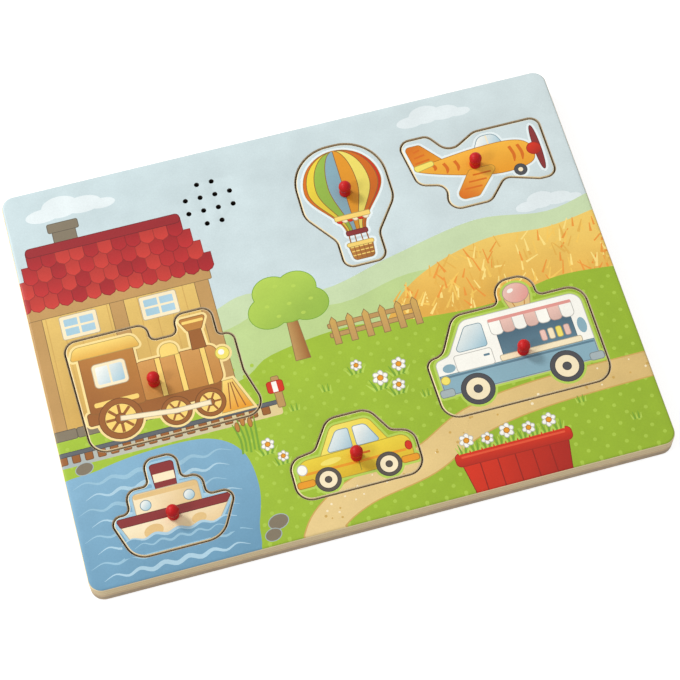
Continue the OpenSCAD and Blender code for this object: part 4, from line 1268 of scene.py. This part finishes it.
def bent(corners):  # a line through corners, with each bend made round
    route = [corners[0]]
    for before, here, after in zip(corners, corners[1:], corners[2:]):
        reach = leads["bendShare"] * min((here - before).length, (after - here).length)
        come = here + (before - here).normalized() * reach
        go = here + (after - here).normalized() * reach
        for k in range(leads["bendSteps"] + 1):
            t = k / leads["bendSteps"]
            route.append(come.lerp(here, t).lerp(here.lerp(go, t), t))
    return route + [corners[-1]]


def leadPair(bm, start, end, short, tags):  # two leads side by side, to any tags
    start, end = Vector(start), Vector(end)
    along = (end - start).normalized()
    across = Vector((-along.y, along.x)) * leads["half"]
    for side in (-1, 1):
        first = start - along * leads["under"] + across * side
        last = end - along * short + across * side
        if tags:
            route = bent([first, last] + [Vector((x, leads["boxMiddle"] + side * y)) for x, y in tags])
        else:
            route = [first.lerp(last, k / 4) for k in range(5)]
        tubeAlong(bm, [(p.x, p.y, leads["high"]) for p in route], leads["radius"], leads["sides"])


def makeLeads():
    for node, run in leadRuns.items():
        bm = bmesh.new()
        for start, end in run["pairs"]:
            leadPair(bm, start, end, run.get("short", 0.0), run.get("tags", ()))
        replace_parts(placePiece(run["piece"], bm, [run["look"]], node), node)


springs = dict(wide=3.15, narrow=2.1, turns=3, long=3.4, wire=0.5, gap=0.1, rings=28, sides=10, high=7.15,
               feet=[(73.85, -93.35, 1), (122.15, -82.65, -1)])


def makeSprings():
    s = springs
    bm = bmesh.new()
    count = s["turns"] * s["rings"]
    for x, y, side in s["feet"]:  # side is the way in which a spring points
        route = []
        for k in range(count + 1):
            t = k / count
            r = s["wide"] + (s["narrow"] - s["wide"]) * t
            a = math.tau * s["turns"] * t
            out = s["wire"] / 2 + s["gap"] + (s["long"] - s["wire"] - 2 * s["gap"]) * t
            route.append((x + side * out, y + r * math.sin(a), s["high"] - side * r * math.cos(a)))
        tubeAlong(bm, route, s["wire"] / 2, s["sides"])
    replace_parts(placePiece("coiledSprings", bm, ["nickelPlate"], "contact_springs"), "contact_springs")


# grip ridges on the battery door, inside the depth at which the door lies
ridges = dict(count=9, first=79.0, step=1.9, wide=0.9, corner=0.45, half=7.5, middle=-88.0,
              low=0.24, high=0.7,
              crown=((0.0, 0.16), (0.08, 0.05), (0.2, 0.0)))  # how far in, and how far above the low side


def makeRidges():
    r = ridges
    bm = bmesh.new()
    rows = [(0.0, r["high"])] + [(inset, r["low"] + rise) for inset, rise in r["crown"]]
    for k in range(r["count"]):
        x = r["first"] + r["step"] * k
        outline = rect(x, r["middle"] - r["half"], x + r["wide"], r["middle"] + r["half"],
                       r["wide"] * r["corner"])
        rings = [[bm.verts.new((px * mm, py * mm, z * mm)) for px, py in moved(outline, inset)]
                 for inset, z in rows]
        for above, under in zip(rings, rings[1:]):
            bridge(bm, under, above)
        bm.faces.new(rings[0])
        bm.faces.new(rings[-1][::-1])
    bmesh.ops.recalc_face_normals(bm, faces=bm.faces)
    placePiece("doorRidges", bm, ["doorPlastic"], "battery_door")


makeLeads()
makeSprings()
makeRidges()
print("leads, springs and ridges made")


# finishes of the CAD pieces that stay as they are
nodeFinish = dict(speaker_frame="frameSteel", voice_coil="coilCopper", speaker_cone="coneFilm",
                  speaker_dust_cap="coneFilm", sound_chip="chipResin")
nodeFinish.update({"sensor_" + motif: "sensorResin" for motif in motifs})
for node, look in nodeFinish.items():
    slots = cadNodes[node].data.materials
    slots.clear()
    slots.append(finish[look])
print("CAD pieces finished:", len(nodeFinish))

bpy.context.scene.view_settings.view_transform = "Standard"
